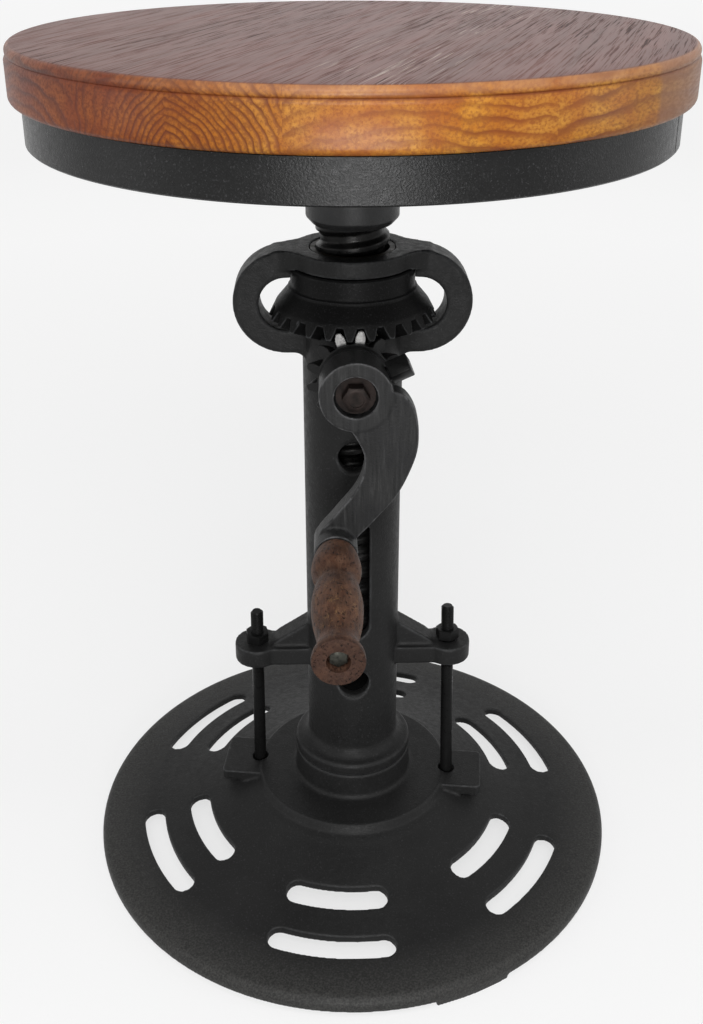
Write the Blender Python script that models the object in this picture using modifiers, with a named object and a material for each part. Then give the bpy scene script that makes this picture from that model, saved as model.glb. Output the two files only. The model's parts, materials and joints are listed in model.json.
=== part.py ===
"""Crank-adjustable stool: a cast stand, a lift screw turned by a bevel gear pair, and a round wooden seat.

Metres, +Z up. The column's axis is Z, the crank's axle points to -Y, and the seat is at its lowest.
"""

import math

import bmesh
import bpy
from mathutils import Matrix, Vector

MM = 0.001

# Clearances
FIT = 0.3 * MM
RUN = 1.0 * MM

# Seat
SEAT_RADIUS = 175 * MM
SEAT_THICKNESS = 27.5 * MM
SEAT_EDGE = 6 * MM
SEAT_REST_GAP = 13.4 * MM
SEAT_OVERHANG = 6 * MM
HOOP_EDGE = 0.8 * MM
HOOP_HEIGHT = 21.3 * MM
HOOP_WALL = 3 * MM
PLATE_THICKNESS = 4 * MM
COLLAR_WALL = 5 * MM
COLLAR_LENGTH = 67.4 * MM
COLLAR_CHAMFER = 4 * MM
COLLAR_GRIP = 45 * MM
SEAT_SCREWS = 6
SEAT_SCREW_CIRCLE = 110 * MM
SEAT_SCREW_RADIUS = 2 * MM
SEAT_SCREW_HEAD = 4.5 * MM
SEAT_SCREW_HEAD_HEIGHT = 2.6 * MM
SEAT_SCREW_BITE = 18 * MM

# Lift screw
SCREW_RADIUS = 20.5 * MM
SCREW_BOTTOM = 153 * MM
KEYWAY_WIDTH = 7 * MM
KEYWAY_DEPTH = 4 * MM
KEY_RADIUS = 3 * MM
KEY_STAND_OUT = 3 * MM
KEY_DROP = 34 * MM

# Bevel gear pair
GEAR_TEETH = 25
PINION_TEETH = 13
MODULE = 3.68 * MM
PRESSURE_ANGLE = math.radians(20)
ADDENDUM = 0.85 * MODULE
DEDENDUM = 1.08 * MODULE
BACKLASH = 0.5 * MM
FACE_WIDTH = 12.5 * MM
SHAFT_HEIGHT = 339 * MM
REST_TURN = math.radians(4.1)
GEAR_COLLAR_RADIUS = 35 * MM
GEAR_COLLAR_HEIGHT = 13.2 * MM
GEAR_BACK_LENGTH = 9 * MM
THRUST_WASHER_THICKNESS = 1.6 * MM
THRUST_WASHER_WIDTH = 5 * MM

# Column casting
COLUMN_WALL = 7.25 * MM
GEAR_SEAT_RISE = 15 * MM
COLUMN_FOOT = 59.8 * MM
SPIGOT_LENGTH = 20 * MM
FLANGE_WIDTH = 8.75 * MM
FLANGE_THICKNESS = 8 * MM
FLANGE_FILLET = 8 * MM
UPPER_HOLE_DROP = 57 * MM
UPPER_HOLE_RADIUS = 9 * MM
HOLE_CHAMFER = 2 * MM
SLOT_WIDTH = 19 * MM
SLOT_BOTTOM = 158 * MM
SLOT_TOP_DROP = 97 * MM
LOWER_HOLE_HEIGHT = 125 * MM
LOWER_HOLE_RADIUS = 9.5 * MM

# Yoke loop on top of the column
LOOP_HALF_LENGTH = 67 * MM
LOOP_BOTTOM_RISE = 1 * MM
LOOP_DEPTH = 21 * MM
LOOP_BAR = 13.5 * MM
LOOP_TOP_BAR = 15 * MM
LOOP_FILLET = 8 * MM
LOOP_WINDOW_DROP = 0.5 * MM
WINDOW_HEIGHT = 30.5 * MM
BOSS_RADIUS = 34 * MM
BOSS_HEIGHT = 9.7 * MM
BOSS_FILLET = 20 * MM
BOSS_SINK = 0.2 * MM
BUSH_WALL = 3 * MM
BUSH_INSET = 0.5 * MM

# Rod arms of the column
ARM_TOP = 139.5 * MM
ARM_THICKNESS = 12 * MM
ARM_HALF_WIDTH = 11 * MM
EAR_RADIUS = 14.3 * MM
EAR_REACH = 61 * MM
GUSSET_THICKNESS = 15 * MM
GUSSET_HEIGHT = 17.5 * MM
GUSSET_SHOULDER = 5 * MM

# Tie rods
ROD_RADIUS = 4 * MM
ROD_HOLE = 1.3 * MM
ROD_STAND_OUT = 23.4 * MM
ROD_HEAD_HEIGHT = 5.3 * MM
NUT_FLATS = 13 * MM
NUT_HEIGHT = 6.8 * MM

# Base casting
BASE_TWIST = math.radians(-6.8)
BASE_RADIUS = 169 * MM
BASE_WALL = 5 * MM
DECK_THICKNESS = 8.4 * MM
RIM_WIDTH = 6 * MM
FOOT_HEIGHT = 3 * MM
FEET = 3
FOOT_HALF_ANGLE = math.radians(8)
DECK_HEIGHT = 41.5 * MM
DECK_RADIUS = 62.5 * MM
DOME_PROFILE = ((72 * MM, 33.5 * MM), (101 * MM, 23.5 * MM), (130.5 * MM, 16 * MM))
DOME_EDGE = 12.5 * MM
LUG_REACH = 86 * MM
LUG_HALF_WIDTH = 18 * MM
LUG_ROUND = 5 * MM
LUG_HOLE_REACH = 63 * MM
SLOT_CIRCLES = (103.5 * MM, 134 * MM)
SLOT_SECTORS = 6
SLOT_HALF_ANGLE = math.radians(13.6)
BASE_SLOT_WIDTH = 13.2 * MM

# Crank, on its axle
HUB_RADIUS = 19.5 * MM
HUB_BACK = 54 * MM
HUB_LENGTH = 20 * MM
COUNTERBORE_RADIUS = 11.5 * MM
COUNTERBORE_DEPTH = 6 * MM
SLEEVE_WALL = 5.5 * MM
AXLE_RADIUS = 4 * MM
AXLE_END_GAP = 0.6 * MM
AXLE_HEAD_FLATS = 13 * MM
AXLE_HEAD_HEIGHT = 6.4 * MM
AXLE_WASHER_RADIUS = 10.6 * MM
AXLE_WASHER_THICKNESS = 1.6 * MM
AXLE_BOSS_RADIUS = 11 * MM
ARM_STEP = 0.3 * MM
CRANK_ARM_THICKNESS = 11 * MM
THROW_SIDE = -11 * MM
THROW_DROP = -89 * MM
END_BOSS_RADIUS = 12 * MM
END_BOSS_STAND_OUT = 9.3 * MM
END_BOSS_BACK = 1 * MM
SET_SCREW_RADIUS = 4 * MM
SET_SCREW_FLATS = 10 * MM
SET_SCREW_HEAD = 12 * MM
SET_SCREW_SETBACK = 6 * MM
SET_SCREW_ANGLE = math.radians(25)

# Grip
GRIP_LENGTH = 97.5 * MM
GRIP_BOLT_RADIUS = 4 * MM
GRIP_RECESS_RADIUS = 5.9 * MM
GRIP_RECESS_DEPTH = 8 * MM
GRIP_HEAD_HEIGHT = 4.5 * MM
GRIP_RADIUS = 13.4 * MM

# How far a cutter reaches past the piece it cuts
CUT_OVER = 20 * MM

# Worked out from the driving dimensions
SCREW_BORE = SCREW_RADIUS + RUN
COLUMN_RADIUS = SCREW_BORE + COLUMN_WALL
GEAR_BORE = SCREW_RADIUS + FIT
GEAR_PITCH = MODULE * GEAR_TEETH / 2
PINION_PITCH = MODULE * PINION_TEETH / 2
CONE_LENGTH = math.hypot(GEAR_PITCH, PINION_PITCH)
GEAR_CONE = math.atan2(GEAR_PITCH, PINION_PITCH)
PINION_CONE = math.atan2(PINION_PITCH, GEAR_PITCH)
TOE = 1 - FACE_WIDTH / CONE_LENGTH
GEAR_RIM_RADIUS = GEAR_PITCH - (GEAR_BACK_LENGTH - ADDENDUM) * math.cos(GEAR_CONE)
GEAR_RIM_HEIGHT = PINION_PITCH + (GEAR_BACK_LENGTH - ADDENDUM) * math.sin(GEAR_CONE)
GEAR_TOP = GEAR_RIM_HEIGHT + GEAR_RIM_RADIUS - GEAR_COLLAR_RADIUS + GEAR_COLLAR_HEIGHT
COLUMN_TOP = SHAFT_HEIGHT + GEAR_SEAT_RISE
UPPER_HOLE_HEIGHT = SHAFT_HEIGHT - UPPER_HOLE_DROP
KEY_HEIGHT = SHAFT_HEIGHT - KEY_DROP
SLOT_LENGTH = SHAFT_HEIGHT - SLOT_TOP_DROP - SLOT_BOTTOM
LOOP_BOTTOM = SHAFT_HEIGHT + LOOP_BOTTOM_RISE
BOSS_LOW = SHAFT_HEIGHT + GEAR_TOP + FIT
BOSS_TOP = BOSS_LOW + BOSS_HEIGHT
WASHER_LOW = COLUMN_TOP + FIT
GEAR_LOW = WASHER_LOW + THRUST_WASHER_THICKNESS + FIT
FLANGE_RADIUS = COLUMN_RADIUS + FLANGE_WIDTH
COLLAR_LOW = BOSS_TOP + SEAT_REST_GAP
COLLAR_TOP = COLLAR_LOW + COLLAR_LENGTH
PLATE_LOW = COLLAR_TOP + FIT
PLATE_TOP = PLATE_LOW + PLATE_THICKNESS
SEAT_LOW = PLATE_TOP + FIT
SEAT_TOP = SEAT_LOW + SEAT_THICKNESS
HOOP_RADIUS = SEAT_RADIUS - SEAT_OVERHANG
COLLAR_BORE = SCREW_RADIUS + FIT
WINDOW_LOW = COLUMN_TOP - LOOP_WINDOW_DROP
WINDOW_TOP = WINDOW_LOW + WINDOW_HEIGHT
LOOP_TOP = WINDOW_TOP + LOOP_TOP_BAR
WINDOW_HALF_LENGTH = LOOP_HALF_LENGTH - LOOP_BAR - 1 * MM
SOCKET_TOP = COLUMN_FOOT - FIT
SPIGOT_RADIUS = COLUMN_RADIUS - 0.7 * MM
AXLE_BORE = AXLE_RADIUS + FIT
SLEEVE_RADIUS = AXLE_BORE + SLEEVE_WALL
HUB_FRONT = HUB_BACK + HUB_LENGTH
COUNTERBORE_FLOOR = HUB_FRONT - COUNTERBORE_DEPTH
ARM_FRONT = HUB_FRONT - ARM_STEP
ARM_BACK = ARM_FRONT - CRANK_ARM_THICKNESS
END_BOSS_FRONT = ARM_FRONT + END_BOSS_STAND_OUT
GRIP_LOW = END_BOSS_FRONT + FIT
NUT_LENGTH = NUT_FLATS / math.sqrt(3)


def clear_scene():
    for old in list(bpy.data.objects):
        bpy.data.objects.remove(old)


def make_collection(name, hidden):
    collection = bpy.data.collections.new(name)
    bpy.context.scene.collection.children.link(collection)
    collection.hide_render = hidden
    return collection


def finish(name, colour, roughness, metallic):
    material = bpy.data.materials.new(name)
    material.use_nodes = True
    shader = material.node_tree.nodes["Principled BSDF"]
    shader.inputs["Base Color"].default_value = (*colour, 1)
    shader.inputs["Roughness"].default_value = roughness
    shader.inputs["Metallic"].default_value = metallic
    material.diffuse_color = (*colour, 1)
    return material


def empty(name, location, parent=None, turn=None):
    holder = bpy.data.objects.new(name, None)
    holder.location = location
    holder.parent = parent
    if turn is not None:
        holder.rotation_euler = turn
    PARTS.objects.link(holder)
    return holder


def piece(name, mesh, material, parent=None):
    """A visible sub-part, or a cutter when it has no material."""
    made = bpy.data.objects.new(name, mesh)
    made.parent = parent
    if material is None:
        made.hide_render = True
        made.display_type = "WIRE"
        CUTTERS.objects.link(made)
    else:
        mesh.materials.append(material)
        PARTS.objects.link(made)
    return made


def mesh_of(shape, name):
    mesh = bpy.data.meshes.new(name)
    shape.to_mesh(mesh)
    shape.free()
    return mesh


def rod(name, radius, low, high, material=None, parent=None, sides=32, turn=None):
    """A cylinder along Z from low to high, turned by a matrix if one is given."""
    shape = bmesh.new()
    bmesh.ops.create_cone(
        shape, cap_ends=True, segments=sides, radius1=radius, radius2=radius, depth=high - low
    )
    bmesh.ops.translate(shape, verts=shape.verts, vec=(0, 0, (low + high) / 2))
    if turn is not None:
        bmesh.ops.transform(shape, matrix=turn, verts=shape.verts)
    return piece(name, mesh_of(shape, name), material, parent)


def box(name, low, high, material=None, parent=None):
    shape = bmesh.new()
    bmesh.ops.create_cube(shape, size=1)
    low, high = Vector(low), Vector(high)
    bmesh.ops.scale(shape, verts=shape.verts, vec=high - low)
    bmesh.ops.translate(shape, verts=shape.verts, vec=(low + high) / 2)
    return piece(name, mesh_of(shape, name), material, parent)


def turned(name, profile, material=None, parent=None, steps=36, ring=True):
    """A profile of (radius, height), read down the outside and up the inside, turned about Z."""
    shape = bmesh.new()
    corners = [shape.verts.new((radius, 0, height)) for radius, height in profile]
    for first, second in zip(corners, corners[1:]):
        shape.edges.new((first, second))
    if ring:
        shape.edges.new((corners[-1], corners[0]))
    made = piece(name, mesh_of(shape, name), material, parent)
    screw = made.modifiers.new("Turn", "SCREW")
    screw.steps = steps
    screw.render_steps = steps
    screw.use_merge_vertices = True
    screw.merge_threshold = 1e-6
    return made


def arc(centre, radius, start, end, count):
    """Points along an arc, angles in degrees."""
    return [
        (
            centre[0] + radius * math.cos(math.radians(start + (end - start) * i / count)),
            centre[1] + radius * math.sin(math.radians(start + (end - start) * i / count)),
        )
        for i in range(count + 1)
    ]


def stadium(half_length, low, high, count=8):
    radius = (high - low) / 2
    middle = (high + low) / 2
    reach = half_length - radius
    return arc((reach, middle), radius, -90, 90, count) + arc((-reach, middle), radius, 90, 270, count)


def curve_mesh(name, curve, low, high, turn):
    """The mesh of a flat 2D curve, spread from low to high and turned by a matrix."""
    curve.dimensions = "2D"
    curve.fill_mode = "BOTH"
    curve.extrude = (high - low) / 2
    carrier = bpy.data.objects.new(name, curve)
    CUTTERS.objects.link(carrier)
    seen = carrier.evaluated_get(bpy.context.evaluated_depsgraph_get())
    mesh = bpy.data.meshes.new_from_object(seen)
    bpy.data.objects.remove(carrier)
    shape = bmesh.new()
    shape.from_mesh(mesh)
    bpy.data.meshes.remove(mesh)
    bmesh.ops.remove_doubles(shape, verts=shape.verts, dist=1e-6)
    bmesh.ops.translate(shape, verts=shape.verts, vec=(0, 0, (low + high) / 2))
    if turn is not None:
        bmesh.ops.transform(shape, matrix=turn, verts=shape.verts)
    bmesh.ops.recalc_face_normals(shape, faces=shape.faces)
    return mesh_of(shape, name)


def plate(name, outline, low, high, material=None, parent=None, turn=None):
    """A flat outline, filled and drawn out from low to high."""
    shape = bmesh.new()
    corners = [shape.verts.new((x, y, low)) for x, y in outline]
    for first, second in zip(corners, corners[1:] + corners[:1]):
        shape.edges.new((first, second))
    bottom = bmesh.ops.contextual_create(shape, geom=shape.edges[:])["faces"]
    walls = bmesh.ops.extrude_face_region(shape, geom=bottom)
    raised = [corner for corner in walls["geom"] if isinstance(corner, bmesh.types.BMVert)]
    bmesh.ops.translate(shape, verts=raised, vec=(0, 0, high - low))
    if turn is not None:
        bmesh.ops.transform(shape, matrix=turn, verts=shape.verts)
    bmesh.ops.recalc_face_normals(shape, faces=shape.faces)
    return piece(name, mesh_of(shape, name), material, parent)


def smooth_plate(name, outline, low, high, material=None, parent=None):
    """A flat outline drawn as one smooth closed curve through a few points."""
    curve = bpy.data.curves.new(name, "CURVE")
    curve.resolution_u = 3
    spline = curve.splines.new("BEZIER")
    spline.bezier_points.add(len(outline) - 1)
    for point, (x, y) in zip(spline.bezier_points, outline):
        point.co = (x, y, 0)
        point.handle_left_type = "AUTO"
        point.handle_right_type = "AUTO"
    spline.use_cyclic_u = True
    return piece(name, curve_mesh(name, curve, low, high, None), material, parent)


def combine(body, operation, *tools):
    for tool in tools:
        step = body.modifiers.new(tool.name, "BOOLEAN")
        step.operation = operation
        step.solver = "EXACT"
        step.object = tool


def cut(body, *tools):
    combine(body, "DIFFERENCE", *tools)


def join(body, *tools):
    combine(body, "UNION", *tools)


def involute(angle):
    return math.tan(angle) - angle


def gap_half_angle(height, teeth, cone):
    """Half the gap between two teeth, as a turn of the gear, at a height above the pitch line."""
    virtual_teeth = teeth / math.cos(cone)
    pitch = MODULE * virtual_teeth / 2
    base = pitch * math.cos(PRESSURE_ANGLE)
    radius = max(pitch + height, base)
    flank = involute(PRESSURE_ANGLE) - involute(math.acos(base / radius))
    tooth = math.pi / (2 * virtual_teeth) - BACKLASH / (2 * pitch) + flank
    return (math.pi / virtual_teeth - tooth) / math.cos(cone)


def on_back_cone(height, angle, teeth, cone, share):
    """A point of the gear's back cone, drawn in towards the apex at the origin by a share."""
    pitch = MODULE * teeth / 2
    radius = pitch + height * math.cos(cone)
    along = pitch / math.tan(cone) - height * math.sin(cone)
    return Vector((radius * math.cos(angle), radius * math.sin(angle), along)) * share


def tooth_gaps(name, teeth, cone, first_angle, parent):
    """Cutters for all the gaps of a bevel gear with its apex at the origin and its axis along Z."""
    heights = (-DEDENDUM, -0.5 * DEDENDUM, 0, ADDENDUM, 1.8 * ADDENDUM)
    shares = (TOE - 0.04, 1.07)
    shape = bmesh.new()
    for tooth in range(teeth):
        middle = first_angle + tooth * 2 * math.pi / teeth
        ends = []
        for share in shares:
            left = [
                (height, middle - gap_half_angle(min(height, ADDENDUM), teeth, cone)) for height in heights
            ]
            right = [
                (height, middle + gap_half_angle(min(height, ADDENDUM), teeth, cone)) for height in heights
            ]
            corners = [
                shape.verts.new(on_back_cone(height, angle, teeth, cone, share))
                for height, angle in left + right[::-1]
            ]
            ends.append(shape.faces.new(corners))
        loops = [edge for face in ends for edge in face.edges]
        bmesh.ops.bridge_loops(shape, edges=loops)
    bmesh.ops.recalc_face_normals(shape, faces=shape.faces)
    return piece(name, mesh_of(shape, name), None, parent)


def cone_point(height, teeth, cone, share):
    """Radius and distance along the axis of a point on the tooth's section."""
    point = on_back_cone(height, 0, teeth, cone, share)
    return point.x, point.z


def make_base():
    """The domed foot plate: a turned shell with lugs, feet, slots and rod holes."""
    turn = empty("base_turn", (0, 0, 0), turn=(0, 0, BASE_TWIST))
    socket = FLANGE_RADIUS
    bore = SPIGOT_RADIUS + FIT
    rim = FOOT_HEIGHT
    top = [
        (socket, SOCKET_TOP), (socket, DECK_HEIGHT + 3 * MM), (socket + 3 * MM, DECK_HEIGHT),
        (DECK_RADIUS - 1 * MM, DECK_HEIGHT), (DECK_RADIUS + 2 * MM, DECK_HEIGHT - 5 * MM),
    ]
    shell = list(DOME_PROFILE) + [(BASE_RADIUS - 14 * MM, DOME_EDGE)]
    edge = [
        (BASE_RADIUS - 5 * MM, DOME_EDGE - 1 * MM), (BASE_RADIUS - 1.2 * MM, rim + 6.2 * MM),
        (BASE_RADIUS, rim + 3.5 * MM), (BASE_RADIUS, rim), (BASE_RADIUS - RIM_WIDTH, rim),
    ]
    under = [(radius, height - BASE_WALL) for radius, height in reversed(shell)]
    ceiling = DECK_HEIGHT - DECK_THICKNESS
    hollow = [(DECK_RADIUS, ceiling), (bore, ceiling), (bore, SOCKET_TOP)]
    base = turned("base_dome", top + shell + edge + under + hollow, IRON, turn, steps=40)

    corner = (LUG_REACH - LUG_ROUND, LUG_HALF_WIDTH - LUG_ROUND)
    outer_end = arc((corner[0], -corner[1]), LUG_ROUND, -90, 0, 3) + arc(corner, LUG_ROUND, 0, 90, 3)
    lug = outer_end + [(socket + 4 * MM, LUG_HALF_WIDTH), (socket + 4 * MM, -LUG_HALF_WIDTH)]
    for side, name in ((1, "right"), (-1, "left")):
        outline = [(side * x, side * y) for x, y in lug]
        join(base, plate(f"lug_{name}", outline, ceiling + 0.5 * MM, DECK_HEIGHT - 0.6 * MM, parent=turn))
    for foot in range(FEET):
        middle = math.degrees(2 * math.pi * foot / FEET + math.pi / FEET)
        half = math.degrees(FOOT_HALF_ANGLE)
        ring = arc((0, 0), BASE_RADIUS - 0.2 * MM, middle - half, middle + half, 4)
        ring += arc((0, 0), BASE_RADIUS - RIM_WIDTH - 4 * MM, middle + half, middle - half, 4)
        join(base, plate(f"foot_{foot}", ring, 0, rim + 3 * MM, parent=turn))

    for row, radius in enumerate(SLOT_CIRCLES):
        for sector in range(SLOT_SECTORS):
            middle = -90 + 360 * sector / SLOT_SECTORS
            half = math.degrees(SLOT_HALF_ANGLE)
            cut(base, slot_cutter(f"slot_{row}_{sector}", radius, middle - half, middle + half, turn))
    for side, name in ((1, "right"), (-1, "left")):
        at = Matrix.Translation((side * LUG_HOLE_REACH, 0, 0))
        hole = rod(f"lug_hole_{name}", ROD_RADIUS + ROD_HOLE, rim, SOCKET_TOP, parent=turn, sides=20, turn=at)
        face = rod(f"lug_face_{name}", NUT_LENGTH + 2 * RUN, rim, ceiling, parent=turn, sides=20, turn=at)
        cut(base, hole, face)
    return base


def slot_cutter(name, radius, start, end, parent):
    """An arc slot with round ends, right through the shell."""
    half = BASE_SLOT_WIDTH / 2
    first = (radius * math.cos(math.radians(start)), radius * math.sin(math.radians(start)))
    last = (radius * math.cos(math.radians(end)), radius * math.sin(math.radians(end)))
    outline = arc((0, 0), radius + half, start, end, 4)
    outline += arc(last, half, end, end + 180, 3)[1:-1]
    outline += arc((0, 0), radius - half, end, start, 4)
    outline += arc(first, half, start + 180, start + 360, 3)[1:-1]
    return plate(name, outline, 0, DECK_HEIGHT, parent=parent)


def make_column():
    """Column, foot flange, rod arms and yoke loop, cast in one piece."""
    fillet = [
        (COLUMN_RADIUS + x, COLUMN_FOOT + FLANGE_THICKNESS + y)
        for x, y in arc((FLANGE_FILLET, FLANGE_FILLET), FLANGE_FILLET, 180, 265, 4)
    ]
    profile = [(0, COLUMN_TOP), (COLUMN_RADIUS, COLUMN_TOP)] + fillet
    profile += [
        (FLANGE_RADIUS, COLUMN_FOOT + FLANGE_THICKNESS - 1.5 * MM), (FLANGE_RADIUS, COLUMN_FOOT),
        (SPIGOT_RADIUS, COLUMN_FOOT), (SPIGOT_RADIUS, COLUMN_FOOT - SPIGOT_LENGTH),
        (0, COLUMN_FOOT - SPIGOT_LENGTH),
    ]
    column = turned("column_casting", profile, IRON, steps=36, ring=False)
    facing = Matrix.Rotation(math.pi / 2, 4, "X")

    trunk = COLUMN_RADIUS - 3 * MM
    tuck = LOOP_BOTTOM - LOOP_FILLET
    right = [(trunk, tuck - 8 * MM)] + arc((trunk + LOOP_FILLET, tuck), LOOP_FILLET, 180, 90, 5)
    left = [(-x, y) for x, y in reversed(right)]
    loop = right + stadium(LOOP_HALF_LENGTH, LOOP_BOTTOM, LOOP_TOP) + left
    window = stadium(WINDOW_HALF_LENGTH, WINDOW_LOW, WINDOW_TOP)
    join(column, plate("loop", loop, -LOOP_DEPTH / 2, LOOP_DEPTH / 2, turn=facing))
    cut(column, plate("loop_window", window, -LOOP_DEPTH, LOOP_DEPTH, turn=facing))
    join(column, plate("loop_boss", boss_outline(), BOSS_LOW - RUN, BOSS_TOP))

    neck = math.degrees(math.asin(ARM_HALF_WIDTH / EAR_RADIUS))
    arms = arc((EAR_REACH, 0), EAR_RADIUS, neck - 180, 180 - neck, 10)
    arms += arc((-EAR_REACH, 0), EAR_RADIUS, neck, 360 - neck, 10)
    join(column, plate("rod_arms", arms, ARM_TOP - ARM_THICKNESS, ARM_TOP))
    shoulder = EAR_REACH - EAR_RADIUS
    gusset = [
        (shoulder + 8 * MM, ARM_TOP - 2 * MM), (shoulder, ARM_TOP + GUSSET_SHOULDER),
        (COLUMN_RADIUS - 1 * MM, ARM_TOP + GUSSET_HEIGHT),
    ]
    gusset += [(-x, y) for x, y in reversed(gusset)]
    join(column, plate("gussets", gusset, -GUSSET_THICKNESS / 2, GUSSET_THICKNESS / 2, turn=facing))
    forward = Matrix.Translation((0, 0, SHAFT_HEIGHT)) @ facing
    join(column, rod("axle_boss", AXLE_BOSS_RADIUS, SCREW_BORE / 2, pinion_back() - FIT, turn=forward))

    cut(column, rod("gear_seat", GEAR_COLLAR_RADIUS + 2 * FIT, WINDOW_LOW + 5 * MM, BOSS_LOW, sides=40))
    cut(column, rod("bush_bore", GEAR_BORE + BUSH_WALL + FIT, BOSS_LOW - RUN, BOSS_TOP + CUT_OVER, sides=36))
    front = SCREW_BORE / 2
    for name, height, radius in (
        ("upper_hole", UPPER_HOLE_HEIGHT, UPPER_HOLE_RADIUS),
        ("lower_hole", LOWER_HOLE_HEIGHT, LOWER_HOLE_RADIUS),
    ):
        at = Matrix.Translation((0, 0, height)) @ facing
        profile = [
            (0, COLUMN_RADIUS + HOLE_CHAMFER), (radius + 2 * HOLE_CHAMFER, COLUMN_RADIUS + HOLE_CHAMFER),
            (radius, COLUMN_RADIUS - HOLE_CHAMFER), (radius, front), (0, front),
        ]
        drill = turned(name, profile, steps=24, ring=False)
        drill.matrix_world = at
        cut(column, drill)
    slot = stadium(SLOT_LENGTH / 2, -SLOT_WIDTH / 2, SLOT_WIDTH / 2, 8)
    upright = Matrix.Translation((0, 0, SLOT_BOTTOM + SLOT_LENGTH / 2)) @ facing
    upright = upright @ Matrix.Rotation(math.pi / 2, 4, "Z")
    cut(column, plate("front_slot", slot, front, COLUMN_RADIUS + CUT_OVER, turn=upright))
    cut(column, rod("axle_hole", AXLE_BORE, 0, pinion_back() + CUT_OVER, sides=24, turn=forward))
    backward = Matrix.Translation((0, 0, KEY_HEIGHT)) @ Matrix.Rotation(-math.pi / 2, 4, "X")
    cut(column, rod("key_hole", KEY_RADIUS + FIT, front, COLUMN_RADIUS + CUT_OVER, sides=20, turn=backward))
    ear_low, ear_high = ARM_TOP - 2 * ARM_THICKNESS, ARM_TOP + ARM_THICKNESS
    for side, name in ((1, "right"), (-1, "left")):
        at = Matrix.Translation((side * EAR_REACH, 0, 0))
        cut(column, rod(f"ear_hole_{name}", ROD_RADIUS + ROD_HOLE, ear_low, ear_high, sides=20, turn=at))
    cut(column, rod("screw_bore", SCREW_BORE, 0, WINDOW_LOW + 5 * MM, sides=36))
    return column


def boss_outline():
    """The top boss in plan: a circle that runs out into the loop's bar with fillets."""
    side = LOOP_DEPTH / 2 - BOSS_SINK + BOSS_FILLET
    reach = math.sqrt((BOSS_RADIUS + BOSS_FILLET) ** 2 - side**2)
    angle = math.degrees(math.atan2(side, reach))
    right = arc((reach, side), BOSS_FILLET, 270, 180 + angle, 5)
    crown = arc((0, 0), BOSS_RADIUS, angle, 180 - angle, 10)[1:-1]
    back = right + crown + [(-x, y) for x, y in reversed(right)]
    return back + [(-x, -y) for x, y in back]


def make_tie_rods():
    """The two long bolts, which lean because the base stands a little turned under the column."""
    for side, name in ((1, "right"), (-1, "left")):
        foot = Vector((side * LUG_HOLE_REACH, 0, DECK_HEIGHT))
        foot.rotate(Matrix.Rotation(BASE_TWIST, 3, "Z"))
        head = Vector((side * EAR_REACH, 0, ARM_TOP))
        along = head - foot
        length = along.length
        stand = empty(f"rod_axis_{name}", foot)
        stand.rotation_mode = "QUATERNION"
        stand.rotation_quaternion = along.to_track_quat("Z", "Y")
        lift = NUT_LENGTH * math.tan(along.angle(Vector((0, 0, 1)))) + FIT / 2
        under = -DECK_THICKNESS - lift
        shank = [
            (0, length + ROD_STAND_OUT), (ROD_RADIUS - 1.2 * MM, length + ROD_STAND_OUT),
            (ROD_RADIUS, length + ROD_STAND_OUT - 1.5 * MM), (ROD_RADIUS, under - ROD_HEAD_HEIGHT / 2),
            (0, under - ROD_HEAD_HEIGHT / 2),
        ]
        bolt = turned(f"tie_rod_{name}", shank, BLACK_STEEL, stand, steps=16, ring=False)
        join(bolt, rod(f"rod_head_{name}", NUT_LENGTH, under - ROD_HEAD_HEIGHT, under, parent=stand, sides=6))
        low = length + lift
        nut = rod(f"rod_nut_{name}", NUT_LENGTH, low, low + NUT_HEIGHT, BLACK_STEEL, stand, sides=6)
        past = low + NUT_HEIGHT + CUT_OVER
        cut(nut, rod(f"rod_nut_bore_{name}", ROD_RADIUS + FIT, low - RUN, past, parent=stand, sides=24))


def pinion_back():
    """Distance of the pinion's inner face from the column's axis."""
    return cone_point(ADDENDUM, PINION_TEETH, PINION_CONE, TOE)[1]


def make_gear():
    """The large bevel gear, whose bore is the nut of the lift screw."""
    axis = empty("gear_axis", (0, 0, SHAFT_HEIGHT))
    low = GEAR_LOW - SHAFT_HEIGHT
    root = cone_point(-DEDENDUM, GEAR_TEETH, GEAR_CONE, TOE)
    tip = cone_point(ADDENDUM, GEAR_TEETH, GEAR_CONE, TOE)
    hub = GEAR_BORE + THRUST_WASHER_WIDTH + 1 * MM
    profile = [
        (GEAR_BORE, GEAR_TOP), (GEAR_COLLAR_RADIUS - 1 * MM, GEAR_TOP),
        (GEAR_COLLAR_RADIUS, GEAR_TOP - 1 * MM), (GEAR_COLLAR_RADIUS, GEAR_TOP - GEAR_COLLAR_HEIGHT),
        (GEAR_RIM_RADIUS, GEAR_RIM_HEIGHT), cone_point(ADDENDUM, GEAR_TEETH, GEAR_CONE, 1), tip, root,
        (hub, max(low, root[1] - 3 * MM)), (hub, low), (GEAR_BORE, low),
    ]
    gear = turned("bevel_gear", profile, BLACK_STEEL, axis, steps=50)
    first = REST_TURN - math.pi / 2
    cut(gear, tooth_gaps("gear_gaps", GEAR_TEETH, GEAR_CONE, first, axis))
    washer = [
        (GEAR_BORE, WASHER_LOW + THRUST_WASHER_THICKNESS),
        (GEAR_BORE + THRUST_WASHER_WIDTH, WASHER_LOW + THRUST_WASHER_THICKNESS),
        (GEAR_BORE + THRUST_WASHER_WIDTH, WASHER_LOW), (GEAR_BORE, WASHER_LOW),
    ]
    turned("thrust_washer", washer, BRIGHT_STEEL, steps=30)
    bush_high = BOSS_TOP - BUSH_INSET
    bush = [
        (GEAR_BORE, bush_high), (GEAR_BORE + BUSH_WALL, bush_high),
        (GEAR_BORE + BUSH_WALL, BOSS_LOW), (GEAR_BORE, BOSS_LOW),
    ]
    turned("screw_bush", bush, BRONZE, steps=30)


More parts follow.
